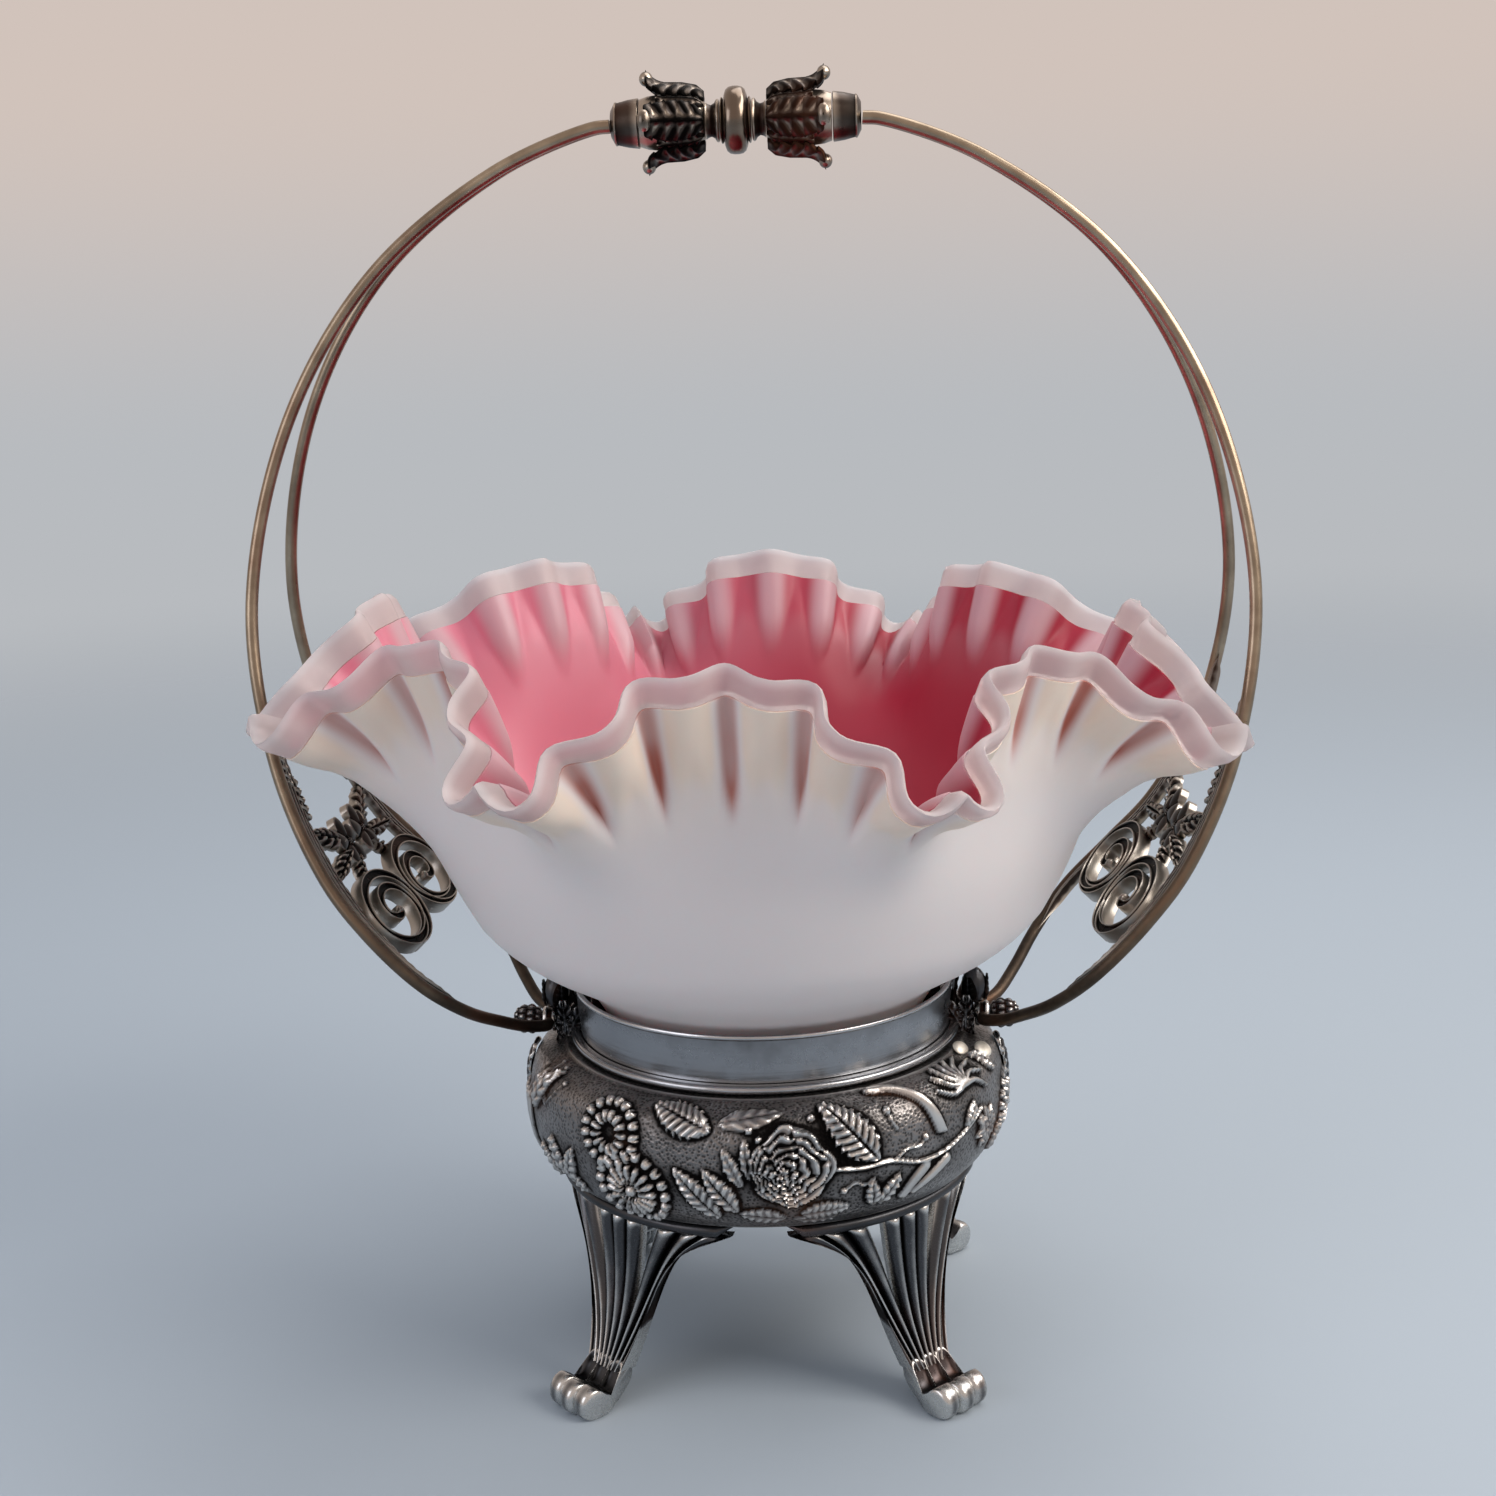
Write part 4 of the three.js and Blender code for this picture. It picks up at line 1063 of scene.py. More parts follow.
# Stems and long petals: points, half width, rise, taper.
RIBBONS = (
    (((35.2, 32.4), (35.9, 30), (37, 28)), 0.45, 0.5),
    (((19.5, 20.6), (27, 19.8), (34.6, 20.1), (44, 17.6), (52.5, 18.2), (60, 20.5), (69, 24)), 0.6, 0.6),
    (((36, 20), (40, 22.2), (43.5, 21.8), (45, 23.2)), 0.4, 0.45),
    (((22.5, 14.5), (25, 16), (27.5, 15), (30, 16.3)), 0.4, 0.4),
    (((39.5, 9.0), (41.5, 12), (45.5, 16)), 1.5, 0.8, -0.2),
    (((42.5, 9.6), (48, 12.6), (53, 15.6)), 1.35, 0.8, -0.2),
    (((33, 40), (40, 38.5), (46.5, 33), (50.5, 25)), 1.3, 1.0, -0.35),
    (((37, 39.2), (43.5, 36.2), (48.8, 30), (51.5, 24)), 0.8, 1.2),
    (((-84, 8), (-82.5, 22), (-86, 38)), 1.2, 0.9, 0.6),
    (((-86.5, 8), (-86, 22), (-91, 36)), 1.2, 0.9, 0.6),
    (((-89, 8), (-90.5, 20), (-96, 33)), 1.1, 0.9, 0.6),
)
SEED_HEADS = ((-78, 35), (-73, 38.5), (-68.5, 37.6), (-70.5, 33), (-76.5, 30), (-62, 34))
SPIDER_FLOWER = (63, 32)
STAR_FLOWER = (72, 18)


@dataclass
class Drum:
    """The drum: pressed sheet metal with flowers and leaves raised on a stippled ground."""

    foot_radius: float = 55.5
    radius: float = 64.0
    shoulder_radius: float = 52.6
    mouth_radius: float = 46.0
    wall: float = 1.4
    columns: int = 840
    rows: int = 96
    boldness: float = 1.4
    seam: float = 96.0
    pivot_relief: float = 0.3
    pivot_angle: float = 19.0
    pivot_level: float = 23.0
    rising: Rows = ((0, 0), (0.47, 0.09), (0.83, 0.26), (0.98, 0.45), (1, 0.6))
    falling: Rows = ((0.94, 0.78), (0.76, 0.9), (0.42, 0.965), (0, 1))

    def __post_init__(self) -> None:
        """Takes the drum's levels from its solid."""
        self.low, self.high = (corner[2] for corner in box_mm("drum_shell"))

    def outline(self) -> Array:
        """Gives the outside, from the foot to the shoulder, as even (radius, height) rows."""
        sides = ((self.foot_radius, self.rising), (self.shoulder_radius, self.falling))
        points = [
            (mix(end, self.radius, r), mix(self.low, self.high, z)) for end, rows in sides for r, z in rows
        ]
        return spread_evenly(catmull(points, 16), self.rows)

    def ornament(self, x: Array, y: Array) -> Array:
        """Gives the height of the raised flowers.

        Args:
            x: Places round the drum, in millimetres from the front at its widest.
            y: Places up its side, in millimetres from its foot.

        Returns:
            The height at each place.
        """
        patch = Ornament(x, y)
        marks = [patch.rose((8.9, 22.0), 10.2)]
        marks += [patch.petals(*row) for row in PETAL_RINGS]
        marks += [patch.berry(*row) for row in BERRIES]
        marks += [patch.leaf(*row) for row in LEAVES]
        marks += [patch.ribbon(*row) for row in RIBBONS]
        x, y = SPIDER_FLOWER
        for turn in np.radians(-20 + 24 * np.arange(9)):
            tip = (x + 10.5 * math.cos(turn), y + 9.5 * math.sin(turn))
            bow = (x + 5.2 * math.cos(turn + 0.3), y + 5.2 * math.sin(turn + 0.3))
            marks.append(patch.ribbon((SPIDER_FLOWER, bow, tip), 0.95, 1.0, 0.5))
        x, y = STAR_FLOWER
        for turn in np.radians(45 * np.arange(8) + 12):
            tip = (x + 6.5 * math.cos(turn), y + 6.5 * math.sin(turn))
            marks.append(patch.leaf(STAR_FLOWER, tip, 1.2, 0, 0.8))
        for head in SEED_HEADS:
            stalk = (head, ((head[0] - 70) / 2, 29), (-69, 26))
            marks += [patch.berry(head, 0.8, 0.6), patch.ribbon(stalk, 0.28, 0.3)]
        return np.max(np.stack(marks), axis=0)

    def build(self, silver: Finish) -> None:
        """Builds the drum."""
        outline = self.outline()
        radius, height = outline[:, :1], outline[:, 1:]
        run = running_length(outline)
        turn = np.linspace(0, 2 * np.pi, self.columns + 1)
        along = (np.mod(turn * self.radius + self.seam, math.pi * self.radius) - self.seam)[None]
        along, up = np.broadcast_arrays(along, run[:, None])
        border = smooth((up - 2.6) / 1.2) * smooth((run[-1] - 1.2 - up) / 1.4)
        away = np.degrees(np.arcsin(np.abs(np.cos(turn))))[None]
        near_pivots = smooth((self.pivot_angle - away) / 5) * smooth((up - self.pivot_level) / 4)
        relief = self.ornament(along, up) * border * self.boldness * (1 - near_pivots)
        relief -= self.pivot_relief * near_pivots
        lines = 0.45 * np.exp(-(((up - 1.9) / 0.55) ** 2))
        lines = lines + 0.5 * np.exp(-(((up - run[-1] + 1.1) / 0.6) ** 2))
        tangent = unit_rows(np.gradient(outline, axis=0))
        out = relief + lines
        outside = round_front(radius + tangent[:, 1:] * out, turn, height - tangent[:, :1] * out)
        steps = np.linspace(0, self.rows - 1, 14).astype(int)[::-1]
        inner_radius = (radius - self.wall * tangent[:, 1:])[steps]
        inner = round_front(inner_radius, turn, (height + self.wall * tangent[:, :1] - 0.1)[steps])
        mouth = round_front(self.mouth_radius, turn, np.array([[self.high], [self.high - self.wall]]))
        places = np.concatenate([outside, mouth, inner, outside[:1]])
        raised = np.ones(places.shape[:2])
        raised[: self.rows] = np.maximum(np.clip(out / 0.5, 0, 1), smooth((2.4 - up) / 0.5))
        edge = np.full(places.shape[:2], 0.4)
        # Partly tarnish and wear, partly painted shade and highlight: the edge mark is darker round the raised
        # motifs and lighter on their tops.
        fine, broad = out - self.blurred(out, 1.5), out - self.blurred(out, 6)
        edge[: self.rows] = np.clip(0.47 + 0.85 * fine + 0.34 * broad, 0, 1)
        drum = Bench.sheet("drum", places, {"raised": raised, "edge": edge})
        Bench.shade(drum, 60)
        Bench.settle(drum, silver, Slot.DARK, "stand", "drum_shell")

    @staticmethod
    def blurred(field: Array, reach: float) -> Array:
        """Softens heights on a [row, place] grid whose first and last places are one.

        Args:
            field: The heights.
            reach: How far they spread, in steps of the grid.

        Returns:
            The softened heights.
        """
        steps = np.arange(-int(3 * reach), int(3 * reach) + 1)
        weights = np.exp(-((steps / reach) ** 2) / 2)
        weights /= weights.sum()
        ring = field[:, :-1]
        ring = sum(w * np.roll(ring, k, axis=1) for w, k in zip(weights, steps))
        tall = np.pad(ring, ((len(steps) // 2,) * 2, (0, 0)), mode="edge")
        ring = sum(w * tall[k : k + len(field)] for k, w in enumerate(weights))
        return np.concatenate([ring, ring[:, :1]], axis=1)


@dataclass
class Legs:
    """Four cast legs: fans of ribs in three groups that draw together over a foot of three toes."""

    height: float = 49.9
    top_radius: float = 54.3
    fan_angle: float = 37.5
    ankle_height: float = 9.0
    ankle_half_width: float = 6.5
    slot_near: float = 0.24
    slot_far: float = 0.39
    slot_end: float = 0.76
    rib: float = 2.1
    back: float = 2.1
    reach: float = 6.0
    toe_length: float = 12.8
    toe_height: float = 8.4

    def surface(self, across: Array, down: Array, rise: Array) -> Array:
        """Places points of the fan: across from -1 to 1, down from 0 at the lip to 1 at the ankle."""
        top = self.top_radius * np.sin(math.radians(self.fan_angle) * across)
        straight = (1 - down) ** 1.15
        swept = 0.42 * (1 - down) + 0.58 * (1 - down) ** 6.5
        sweep = straight + (swept - straight) * np.abs(across) ** 3
        lateral = self.ankle_half_width * across * (1 - sweep) + top * sweep
        radius = self.top_radius + self.reach * down**3.2
        level = mix(self.height, self.ankle_height, down)
        return polar(radius + rise - 1.9, np.arcsin(lateral / radius), level)

    def rib_group(
        self, name: str, down: Array, near: Array, far: Array, plain: int = 0
    ) -> Piece:
        """Builds three ribs side by side between two edges.

        Args:
            name: The piece's name.
            down: Places down the leg, from 0 to 1, one row each.
            near: The first edge at each of them.
            far: The second edge.
            plain: 1 or -1 where the rib at the far or near edge is a smooth face instead, else 0.

        Returns:
            The piece.
        """
        share = np.linspace(0, 1, 37)[None]
        head = np.sqrt(np.clip(1 - (1 - np.clip(down / 0.035, 0, 1)) ** 2, 0, 1))
        ridge = np.abs(np.sin(3 * np.pi * share)) ** 0.8
        if plain:
            face = np.clip(3 * (share if plain > 0 else 1 - share) - 2, 0, 1)
            flat = 0.8 * smooth(face / 0.12) + 0.3 * np.exp(-(((face - 0.9) / 0.09) ** 2))
            ridge = np.where(face > 0, flat, ridge)
        front = -0.4 + (self.rib + 0.4) * ridge * (0.35 + 0.65 * head)
        steps = np.linspace(1, 0, 9)[None]
        rise = np.concatenate([front, (-self.back - 1.5 * down**4) * np.ones_like(steps)], axis=1)
        place = np.concatenate([share, steps], axis=1)
        points = self.surface(near + (far - near) * place, down, rise)
        return Bench.sheet(name, capped(np.concatenate([points, points[:, :1]], axis=1)))

    def toe(self, offset: int) -> Piece:
        """Builds one toe: a scroll that swells, rolls over at its tip and rests on the table.

        Args:
            offset: -1, 0 or 1, its place in the foot.

        Returns:
            The piece.
        """
        ankle = self.top_radius + self.reach
        tip = ankle + self.toe_length + (0.6 if offset == 0 else 0)
        back = ankle - 5.5
        high, tall = self.ankle_height, self.toe_height
        outline = [
            (back + 0.2, high + 2.5), (back + 0.6, high * 0.76), (back + 2.6, high * 0.46),
            (back + 5.4, high * 0.2), (back + 8.9, 0.05), (tip - 6, 0.0), (tip - 2.6, 0.05),
            (tip - 0.4, tall * 0.22),
            (tip + 0.1, tall * 0.58), (tip - 1.3, tall * 0.9), (tip - 4.2, tall * 1.02),
            (tip - 7.4, tall * 0.72), (ankle + 2.2, tall * 0.62), (ankle - 0.4, high * 0.95),
            (ankle - 1.6, high + 2.6),
        ]
        line = catmull([*outline, outline[0]], 6)
        line[-1] = line[0]
        middle = line[:-1].mean(axis=0)
        half = self.ankle_half_width / 3 + 0.2
        shares = np.linspace(-1, 1, 17)[:, None]
        inset = (1 - np.abs(shares) ** 3.4) ** (1 / 3.4)
        swell = mix(0.3, 1, inset) * (np.abs(shares) < 1)
        ring = middle + (line - middle) * swell[..., None]
        past = ring[..., 0] - ankle
        spread = half * (1 + 0.28 * smooth((past - 1) / 5))
        centre = offset * (2 * self.ankle_half_width / 3) * (1 + 0.2 * smooth(past / 6))
        return Bench.sheet(f"toe_{offset}", grid(ring[..., 0], centre + shares * spread, ring[..., 1]))

    def build(self, silver: Finish) -> None:
        """Builds one leg and turns copies of it to the four corners."""
        down = np.concatenate([[0, 0.004, 0.012, 0.025], np.linspace(0.045, 1, 56)])[:, None]
        closing = np.minimum(down / self.slot_end, 1)
        meet = (self.slot_near + self.slot_far) / 2
        near, far = (mix(start, meet, closing) for start in (self.slot_near, self.slot_far))
        side = np.ones_like(down)
        parts = [
            self.rib_group("ribs_middle", down, -near, near),
            self.rib_group("ribs_right", down, far, side, 1),
            self.rib_group("ribs_left", down, -side, -far, -1),
            *(self.toe(offset) for offset in (-1, 0, 1)),
        ]
        leg = Bench.join("leg", parts)
        Bench.shade(leg, 50)
        height = Bench.points(leg)[:, 2]
        # Partly worn plate and tarnish, partly painted highlight and shade: the rib crests are lighter and the
        # grooves darker, and the toes are painted lighter than the ribs.
        Bench.mark_edges(leg, 3.2, mix(0.03, -0.08, smooth((height - 7) / 9)))
        corners = (("front_right", -45), ("back_right", 45), ("back_left", 135), ("front_left", -135))
        for name, turn in corners:
            twin = Bench.copy(leg, f"ribbed_leg_{name}", turn)
            Bench.settle(twin, silver, Slot.DARK, "stand", f"leg_{name}")
        bpy.data.objects.remove(leg)


@dataclass
class Collar:
    """The turned rings: the lip under the drum, the bead at the collar's foot and the brushed collar."""

    radius: float = 49.5
    flare: float = 1.5
    wall: float = 1.5
    segments: int = 160
    lip_inner: float = 50.0
    gap_angle: float = 6.5
    gap_ease: float = 5.5
    gap_inset: float = 0.055
    gap_lift: float = 0.72

    def ring(self, name: str, rings: list[tuple[float, float]]) -> Piece:
        """Turns a ring and marks its edges."""
        ring = Bench.turned(name, rings, self.segments)
        Bench.shade(ring, 40)
        Bench.mark_edges(ring, 1.4)
        return ring

    def rolled(self, name: str, node: str, inner: float) -> Piece:
        """Turns a rolled ring, with a bore of its own, in the place of a node."""
        (_, _, bottom), (outer, _, top) = box_mm(node)
        half = (top - bottom) / 2
        middle = outer - half
        arc = [math.pi * (k / 8 - 0.5) for k in range(9)]
        rounded = [(middle + half * math.cos(turn), bottom + half + half * math.sin(turn)) for turn in arc]
        return self.ring(name, [(inner, bottom), (middle, bottom), *rounded, (inner, top), (inner, bottom)])

    def build(self, silver: Finish, bright: Finish) -> None:
        """Builds the rings and the collar.

        Args:
            silver: The finish of the lip.
            bright: The brushed finish of the bead and the collar.
        """
        lip = self.rolled("rolled_lip", "bottom_lip_ring", self.lip_inner)
        top_level = box_mm("bottom_lip_ring")[1][2]

        def notched(p: Array) -> Array:
            """Slims the lip midway between the legs."""
            bearing = np.degrees(np.arctan2(p[:, 0], p[:, 1]))
            away = np.abs((bearing + 45) % 90 - 45)
            slim = 1 - smooth((away - self.gap_angle) / self.gap_ease)
            scale = 1 - self.gap_inset * slim * (np.hypot(p[:, 0], p[:, 1]) > self.lip_inner + 1)
            level = mix(top_level, p[:, 2], 1 - self.gap_lift * slim)
            return np.column_stack([p[:, :2] * scale[:, None], level])

        Bench.bend(lip, notched)
        Bench.mark_edges(lip, 1.4, -0.22)
        Bench.settle(lip, silver, Slot.BRIGHT, "stand", "bottom_lip_ring")
        bead = self.rolled("collar_bead", "collar_foot_ring", self.radius + 0.55)
        Bench.settle(bead, bright, Slot.BRIGHT, "stand", "collar_foot_ring")
        (_, _, foot), (_, _, top) = box_mm("collar_band")
        mouth, inner = self.radius + self.flare, self.radius - self.wall
        wall = [
            (mix(self.radius + 0.1, mouth - 0.45, t), mix(foot + 1, top - 1.3, t)) for t in (0, 0.35, 0.7, 1)
        ]
        rings = [
            (inner, foot), (self.radius, foot), *wall, (mouth - 0.05, top - 0.9), (mouth, top - 0.45),
            (mouth - 0.2, top - 0.1), (mouth - 0.6, top), (mouth - self.wall + 0.2, top - 0.15),
            (mouth - self.wall, top - 0.7), (inner, foot),
        ]
        Bench.settle(self.ring("brushed_collar", rings), bright, Slot.BRIGHT, "stand", "collar_band")


def leaf_plate(
    name: str, length: float, width: float, rise: float, *, low: float = 0.0, teeth: int = 0,
    tip: float = 0.05, rows: int = 30, columns: int = 17, midrib: float = -0.4,
) -> Piece:
    """Builds a thick leaf that lies along +X from the origin, with a midrib and side veins.

    Args:
        name: The piece's name.
        length: Its length in millimetres.
        width: Half of its width.
        rise: The height of its crown.
        low: The height of its flat underside.
        teeth: How many teeth each edge has.
        tip: How blunt its ends are, as a share of its width.
        rows: Steps along it.
        columns: Steps across it.
        midrib: How far its midrib stands out, or is sunk in.

    Returns:
        The leaf.
    """
    u = np.linspace(0, 1, rows)[:, None]
    v = np.linspace(-1, 1, columns)[None]
    half = width * (tip + (1 - tip) * np.sin(np.pi * u**0.8) ** 0.85)
    if teeth:
        half = half * (0.8 + 0.2 * (1 - (u * teeth) % 1))
    dome = 0.45 + 0.55 * np.sqrt(np.clip(1 - v**2, 0, 1))
    rib = midrib * np.exp(-((v / 0.14) ** 2))
    vein = 0.2 * np.cos(2 * np.pi * (u * max(teeth, 5) - np.abs(v) * 0.8)) * np.clip(np.abs(v) * 3, 0, 1)
    top = grid(u * length, half * v, low + (rise - low) * (dome + rib + vein))
    bottom = grid(u * length, half * v, low)[:, ::-1]
    return Bench.sheet(name, capped(np.concatenate([top, bottom, top[:, :1]], axis=1)))


def bar(
    name: str, path: Array, width: Array, section: Rows, low: float, high: float
) -> Piece:
    """Builds a flat bar of a given section along a path in the XY plane.

    Args:
        name: The piece's name.
        path: The path's points.
        width: Half of the bar's width at each point.
        section: The closed section, with both sides from -1 to 1.
        low: The height of the section's underside.
        high: The height of its top.

    Returns:
        The bar.
    """
    run = unit_rows(np.gradient(path, axis=0))
    shape = np.array([*section, section[0]])
    reach = width[:, None] * shape[None, :, 0]
    depth = mix(low, high, (shape[:, 1] + 1) / 2)
    places = grid(path[:, :1] - run[:, 1:] * reach, path[:, 1:] + run[:, :1] * reach, depth)
    return Bench.sheet(name, capped(places))


@dataclass
class Hoop:
    """The handle's hoop of four bent wires."""

    wire: float = 1.6
    start: float = 58.4
    end: float = 31.3
    width: float = 125.6
    spread: float = 41.0
    hub_side: float = 3.7
    pair_side: float = 1.9
    parts: tuple[str, ...] = ("lower", "middle", "upper")
    low: Rows = (
        (0, 0, 0), (0.004, 0.001, 0.07), (0.07, 0.008, 0.2), (0.145, 0.026, 0.42), (0.25, 0.058, 0.76),
        (0.39, 0.102, 1), (0.575, 0.158, 1), (0.742, 0.218, 0.88), (0.925, 0.336, 0.66), (1, 0.507, 0.44),
    )
    high: Rows = (
        (0.885, 0.702, 0.25), (0.645, 0.853, 0.1), (0.31, 0.955, 0.02), (0.05, 0.996, 0), (0, 0.998, 0),
    )

    def __post_init__(self) -> None:
        """Takes the pivots' and the grip's heights from the frame."""
        swing = next(joint for joint in frame["joints"] if joint["name"] == "handle_swing")
        self.pivot = swing["pos_m"][2] / MM
        self.grip = np.mean(box_mm("grip_bead"), axis=0)[2]

    def curve(self, side: int) -> Array:
        """Gives the middle of a wire on the right.

        Args:
            side: 1 for the back wire and -1 for the front one.

        Returns:
            The points, one row each.
        """
        halves = ((self.start, self.hub_side, self.low), (self.end, self.pair_side, self.high))
        return catmull([
            (mix(end, self.width, x), side * mix(near, self.spread, y), mix(self.pivot, self.grip, z))
            for end, near, rows in halves for x, z, y in rows
        ], 16)

    def stations(self) -> tuple[Array, Array]:
        """Gives the back wire's run and its points, as the panels measure them."""
        points = self.curve(1)
        return running_length(points[:, [0, 2]]), points

    def build(self, toned: Finish) -> None:
        """Builds the wires."""
        for side, right, left in ((-1, "front", "back"), (1, "back", "front")):
            wire = Bench.cord(f"hoop_wire_{right}_right", self.curve(side), self.wire, sides=5)
            Bench.shade(wire, 60)
            height = Bench.points(wire)[:, 2]
            # Painted light: the wires are painted brighter higher up and darker low, near the pivots.
            Bench.mark(wire, "edge", mix(0.3, 0.66, smooth((height - self.pivot - 8) / 70)))
            twin = Bench.copy(wire, f"hoop_wire_{left}_left", 180)
            for piece, stem in ((wire, f"wire_{right}_right"), (twin, f"wire_{left}_left")):
                Bench.settle(piece, toned, Slot.TONED, "handle", *(f"{stem}_{part}" for part in self.parts))


@dataclass
class SidePanels:
    """The cast panels between the wires: ribbed rails, two volutes, two flowers and their leaves."""

    hoop: Hoop
    depth: float = 2.6
    scroll_rise: float = 1.4
    band: float = 3.1
    rail: float = 5.4
    flower: float = 7.6
    gap: float = 0.6
    start: float = 0.058
    end: float = 0.39
    scroll_place: float = 0.152
    flower_place: float = 0.222
    bud_place: float = 0.3
    section: Rows = (
        (-1, 0.8), (-0.9, 1), (-0.72, 1), (-0.55, 0.6), (0, 0.45), (0.55, 0.6), (0.72, 1), (0.9, 1),
        (1, 0.8), (1, -0.9), (0.8, -1), (-0.8, -1), (-1, -0.9),
    )

    def __post_init__(self) -> None:
        """Measures the hoop."""
        self.runs, self.points = self.hoop.stations()

    def run_at(self, share: float) -> float:
        """Gives the run at a share of the hoop's height."""
        height = mix(self.hoop.pivot, self.hoop.grip, share)
        return float(self.runs[np.argmax(self.points[:, 2] >= height)])

    def edge(self, run: Array) -> tuple[Array, Array]:
        """Gives how far from the middle the panel's outer edge lies, and how much the wire leans there."""
        spread = np.interp(run, self.runs, self.points[:, 1])
        slope = np.interp(run, self.runs, np.gradient(self.points[:, 1], self.runs))
        lean = np.hypot(1, slope)
        return spread - (self.hoop.wire + self.gap) * lean, lean

    def rail_edge(self, run: float) -> float:
        """Gives how far from the middle a rail's inner edge lies."""
        outer, lean = self.edge(np.array([run]))
        return float(outer[0] - self.rail * 0.5 * lean[0])

    def make_rail(self, side: int) -> Piece:
        """Builds one rail: three ridges side by side that swell into leaves and taper to tips."""
        swell = [0.05, 0.34, 0.5, 0.75, 1, 1, 0.9, 1.15, 0.7, 0.12]
        share = np.linspace(0, 1, 150)[:, None]
        run = mix(self.run_at(self.start), self.run_at(self.end), share)
        outer, lean = self.edge(run)
        width = self.rail * np.interp(share, np.linspace(0, 1, len(swell)), swell) * lean
        place = np.linspace(0, 1, 22)[None]
        ridge = np.abs(np.sin(3 * np.pi * place)) ** 0.6
        leafy = 0.5 + 0.5 * np.cos(2 * np.pi * (run / 3.1 + place * 1.7))
        slim = smooth(share / 0.12) * smooth((1 - share) / 0.06)
        high = (mix(-self.depth * 0.1, self.depth / 2, ridge) - 0.22 * leafy * place) * slim
        top = grid(run, side * (outer - width * place), high)
        bottom = top[:, ::-1].copy()
        bottom[..., 2] = -self.depth / 2 * slim
        return Bench.sheet("rail", capped(np.concatenate([top, bottom, top[:, :1]], axis=1)))

    def make_scroll(self, run: float, across: float, radii: tuple[float, float], side: int) -> Piece:
        """Builds a volute: a flat ribbon that goes once round and then curls in to an eye.

        Args:
            run: The place of its middle along the hoop.
            across: Its place across.
            radii: Its radii along and across.
            side: 1 or -1, the way that it curls.

        Returns:
            The volute.
        """
        share = np.linspace(0, 1, 150)
        turn = np.pi * (0.9 + 4.3 * share)
        inward = np.clip((share - 0.46) / 0.54, 0, 1)
        reach = 1 - 0.86 * inward**0.85
        half = self.band / 2
        path = np.column_stack([
            run + (radii[0] - half) * reach * np.cos(turn),
            across + side * (radii[1] - half) * reach * np.sin(turn),
        ])
        low, high = -self.depth / 2, self.depth / 2 + self.scroll_rise
        ribbon = bar("scroll", path, half * (1 - 0.25 * inward), self.section, low, high)
        eye = [(0.001, low), (1.0, low), (1.35, 0.2), (1.3, high - 0.6), (0.8, high), (0.001, high + 0.15)]
        knob = Bench.turned("eye", eye, 20)
        Bench.bend(knob, lambda p: p + [*path[-1], 0])
        return Bench.join("scroll", [ribbon, knob])

    def make_flower(self, run: float, across: float) -> Piece:
        """Builds a flower of five dished petals round a beaded heart."""
        share = np.linspace(0, 1, 20)[:, None]
        turn = np.linspace(0, 2 * np.pi, 121)[None]
        lobe = np.abs(np.cos(2.5 * turn))
        reach = self.flower * (0.5 + 0.5 * lobe**0.55) * share
        bow = np.sqrt(np.clip(1 - (2 * share - 1.1) ** 2, 0, 1))
        dish = self.depth * (0.1 + 0.55 * bow * (0.25 + 0.75 * lobe**0.7))
        crease = 0.5 * np.exp(-((np.sin(2.5 * turn + np.pi / 2) * share / 0.09) ** 2)) * (share > 0.3)
        heart = 1.6 * np.clip(1 - (share / 0.27) ** 2, 0, 1) ** 0.5
        beads = 0.25 * np.cos(9 * turn) * np.exp(-(((share - 0.2) / 0.08) ** 2))
        high = np.maximum(dish - crease, heart + beads)
        top = grid(run + reach * np.cos(turn), across + reach * np.sin(turn), high)
        bottom = np.concatenate([top[::-3], np.full_like(top[:1], (run, across, 0))])
        bottom[..., 2] = -self.depth / 2
        return Bench.sheet("flower", np.concatenate([top, bottom]))

    def make_leaf(
        self, start: Place, end: Place, width: float, teeth: int = 4
    ) -> Piece:
        """Builds a leaf from one place on the flat panel to another.

        Args:
            start: The place of its foot, along and across.
            end: The place of its tip.
            width: Its width in millimetres.
            teeth: How many teeth each edge has.

        Returns:
            The leaf.
        """
        run = np.array(end) - np.array(start)
        length = float(np.hypot(*run))
        leaf = leaf_plate(
            "panel_leaf", length, width / 2, self.depth * 0.55, low=-self.depth / 2, teeth=teeth
        )
        c, s = run / length
        Bench.bend(leaf, lambda p: np.column_stack([
            start[0] + p[:, 0] * c - p[:, 1] * s, start[1] + p[:, 0] * s + p[:, 1] * c, p[:, 2],
        ]))
        return leaf

    def onto_hoop(self, flat: Array) -> Array:
        """Bends flat points, as run, across and depth, to lie between the wires."""
        run, across, depth = flat.T
        line = self.points[:, [0, 2]]
        tangent = np.gradient(line, self.runs, axis=0)
        x, z, along, up = (np.interp(run, self.runs, values) for values in (*line.T, *tangent.T))
        return np.column_stack([x - up * depth, across, z + along * depth])

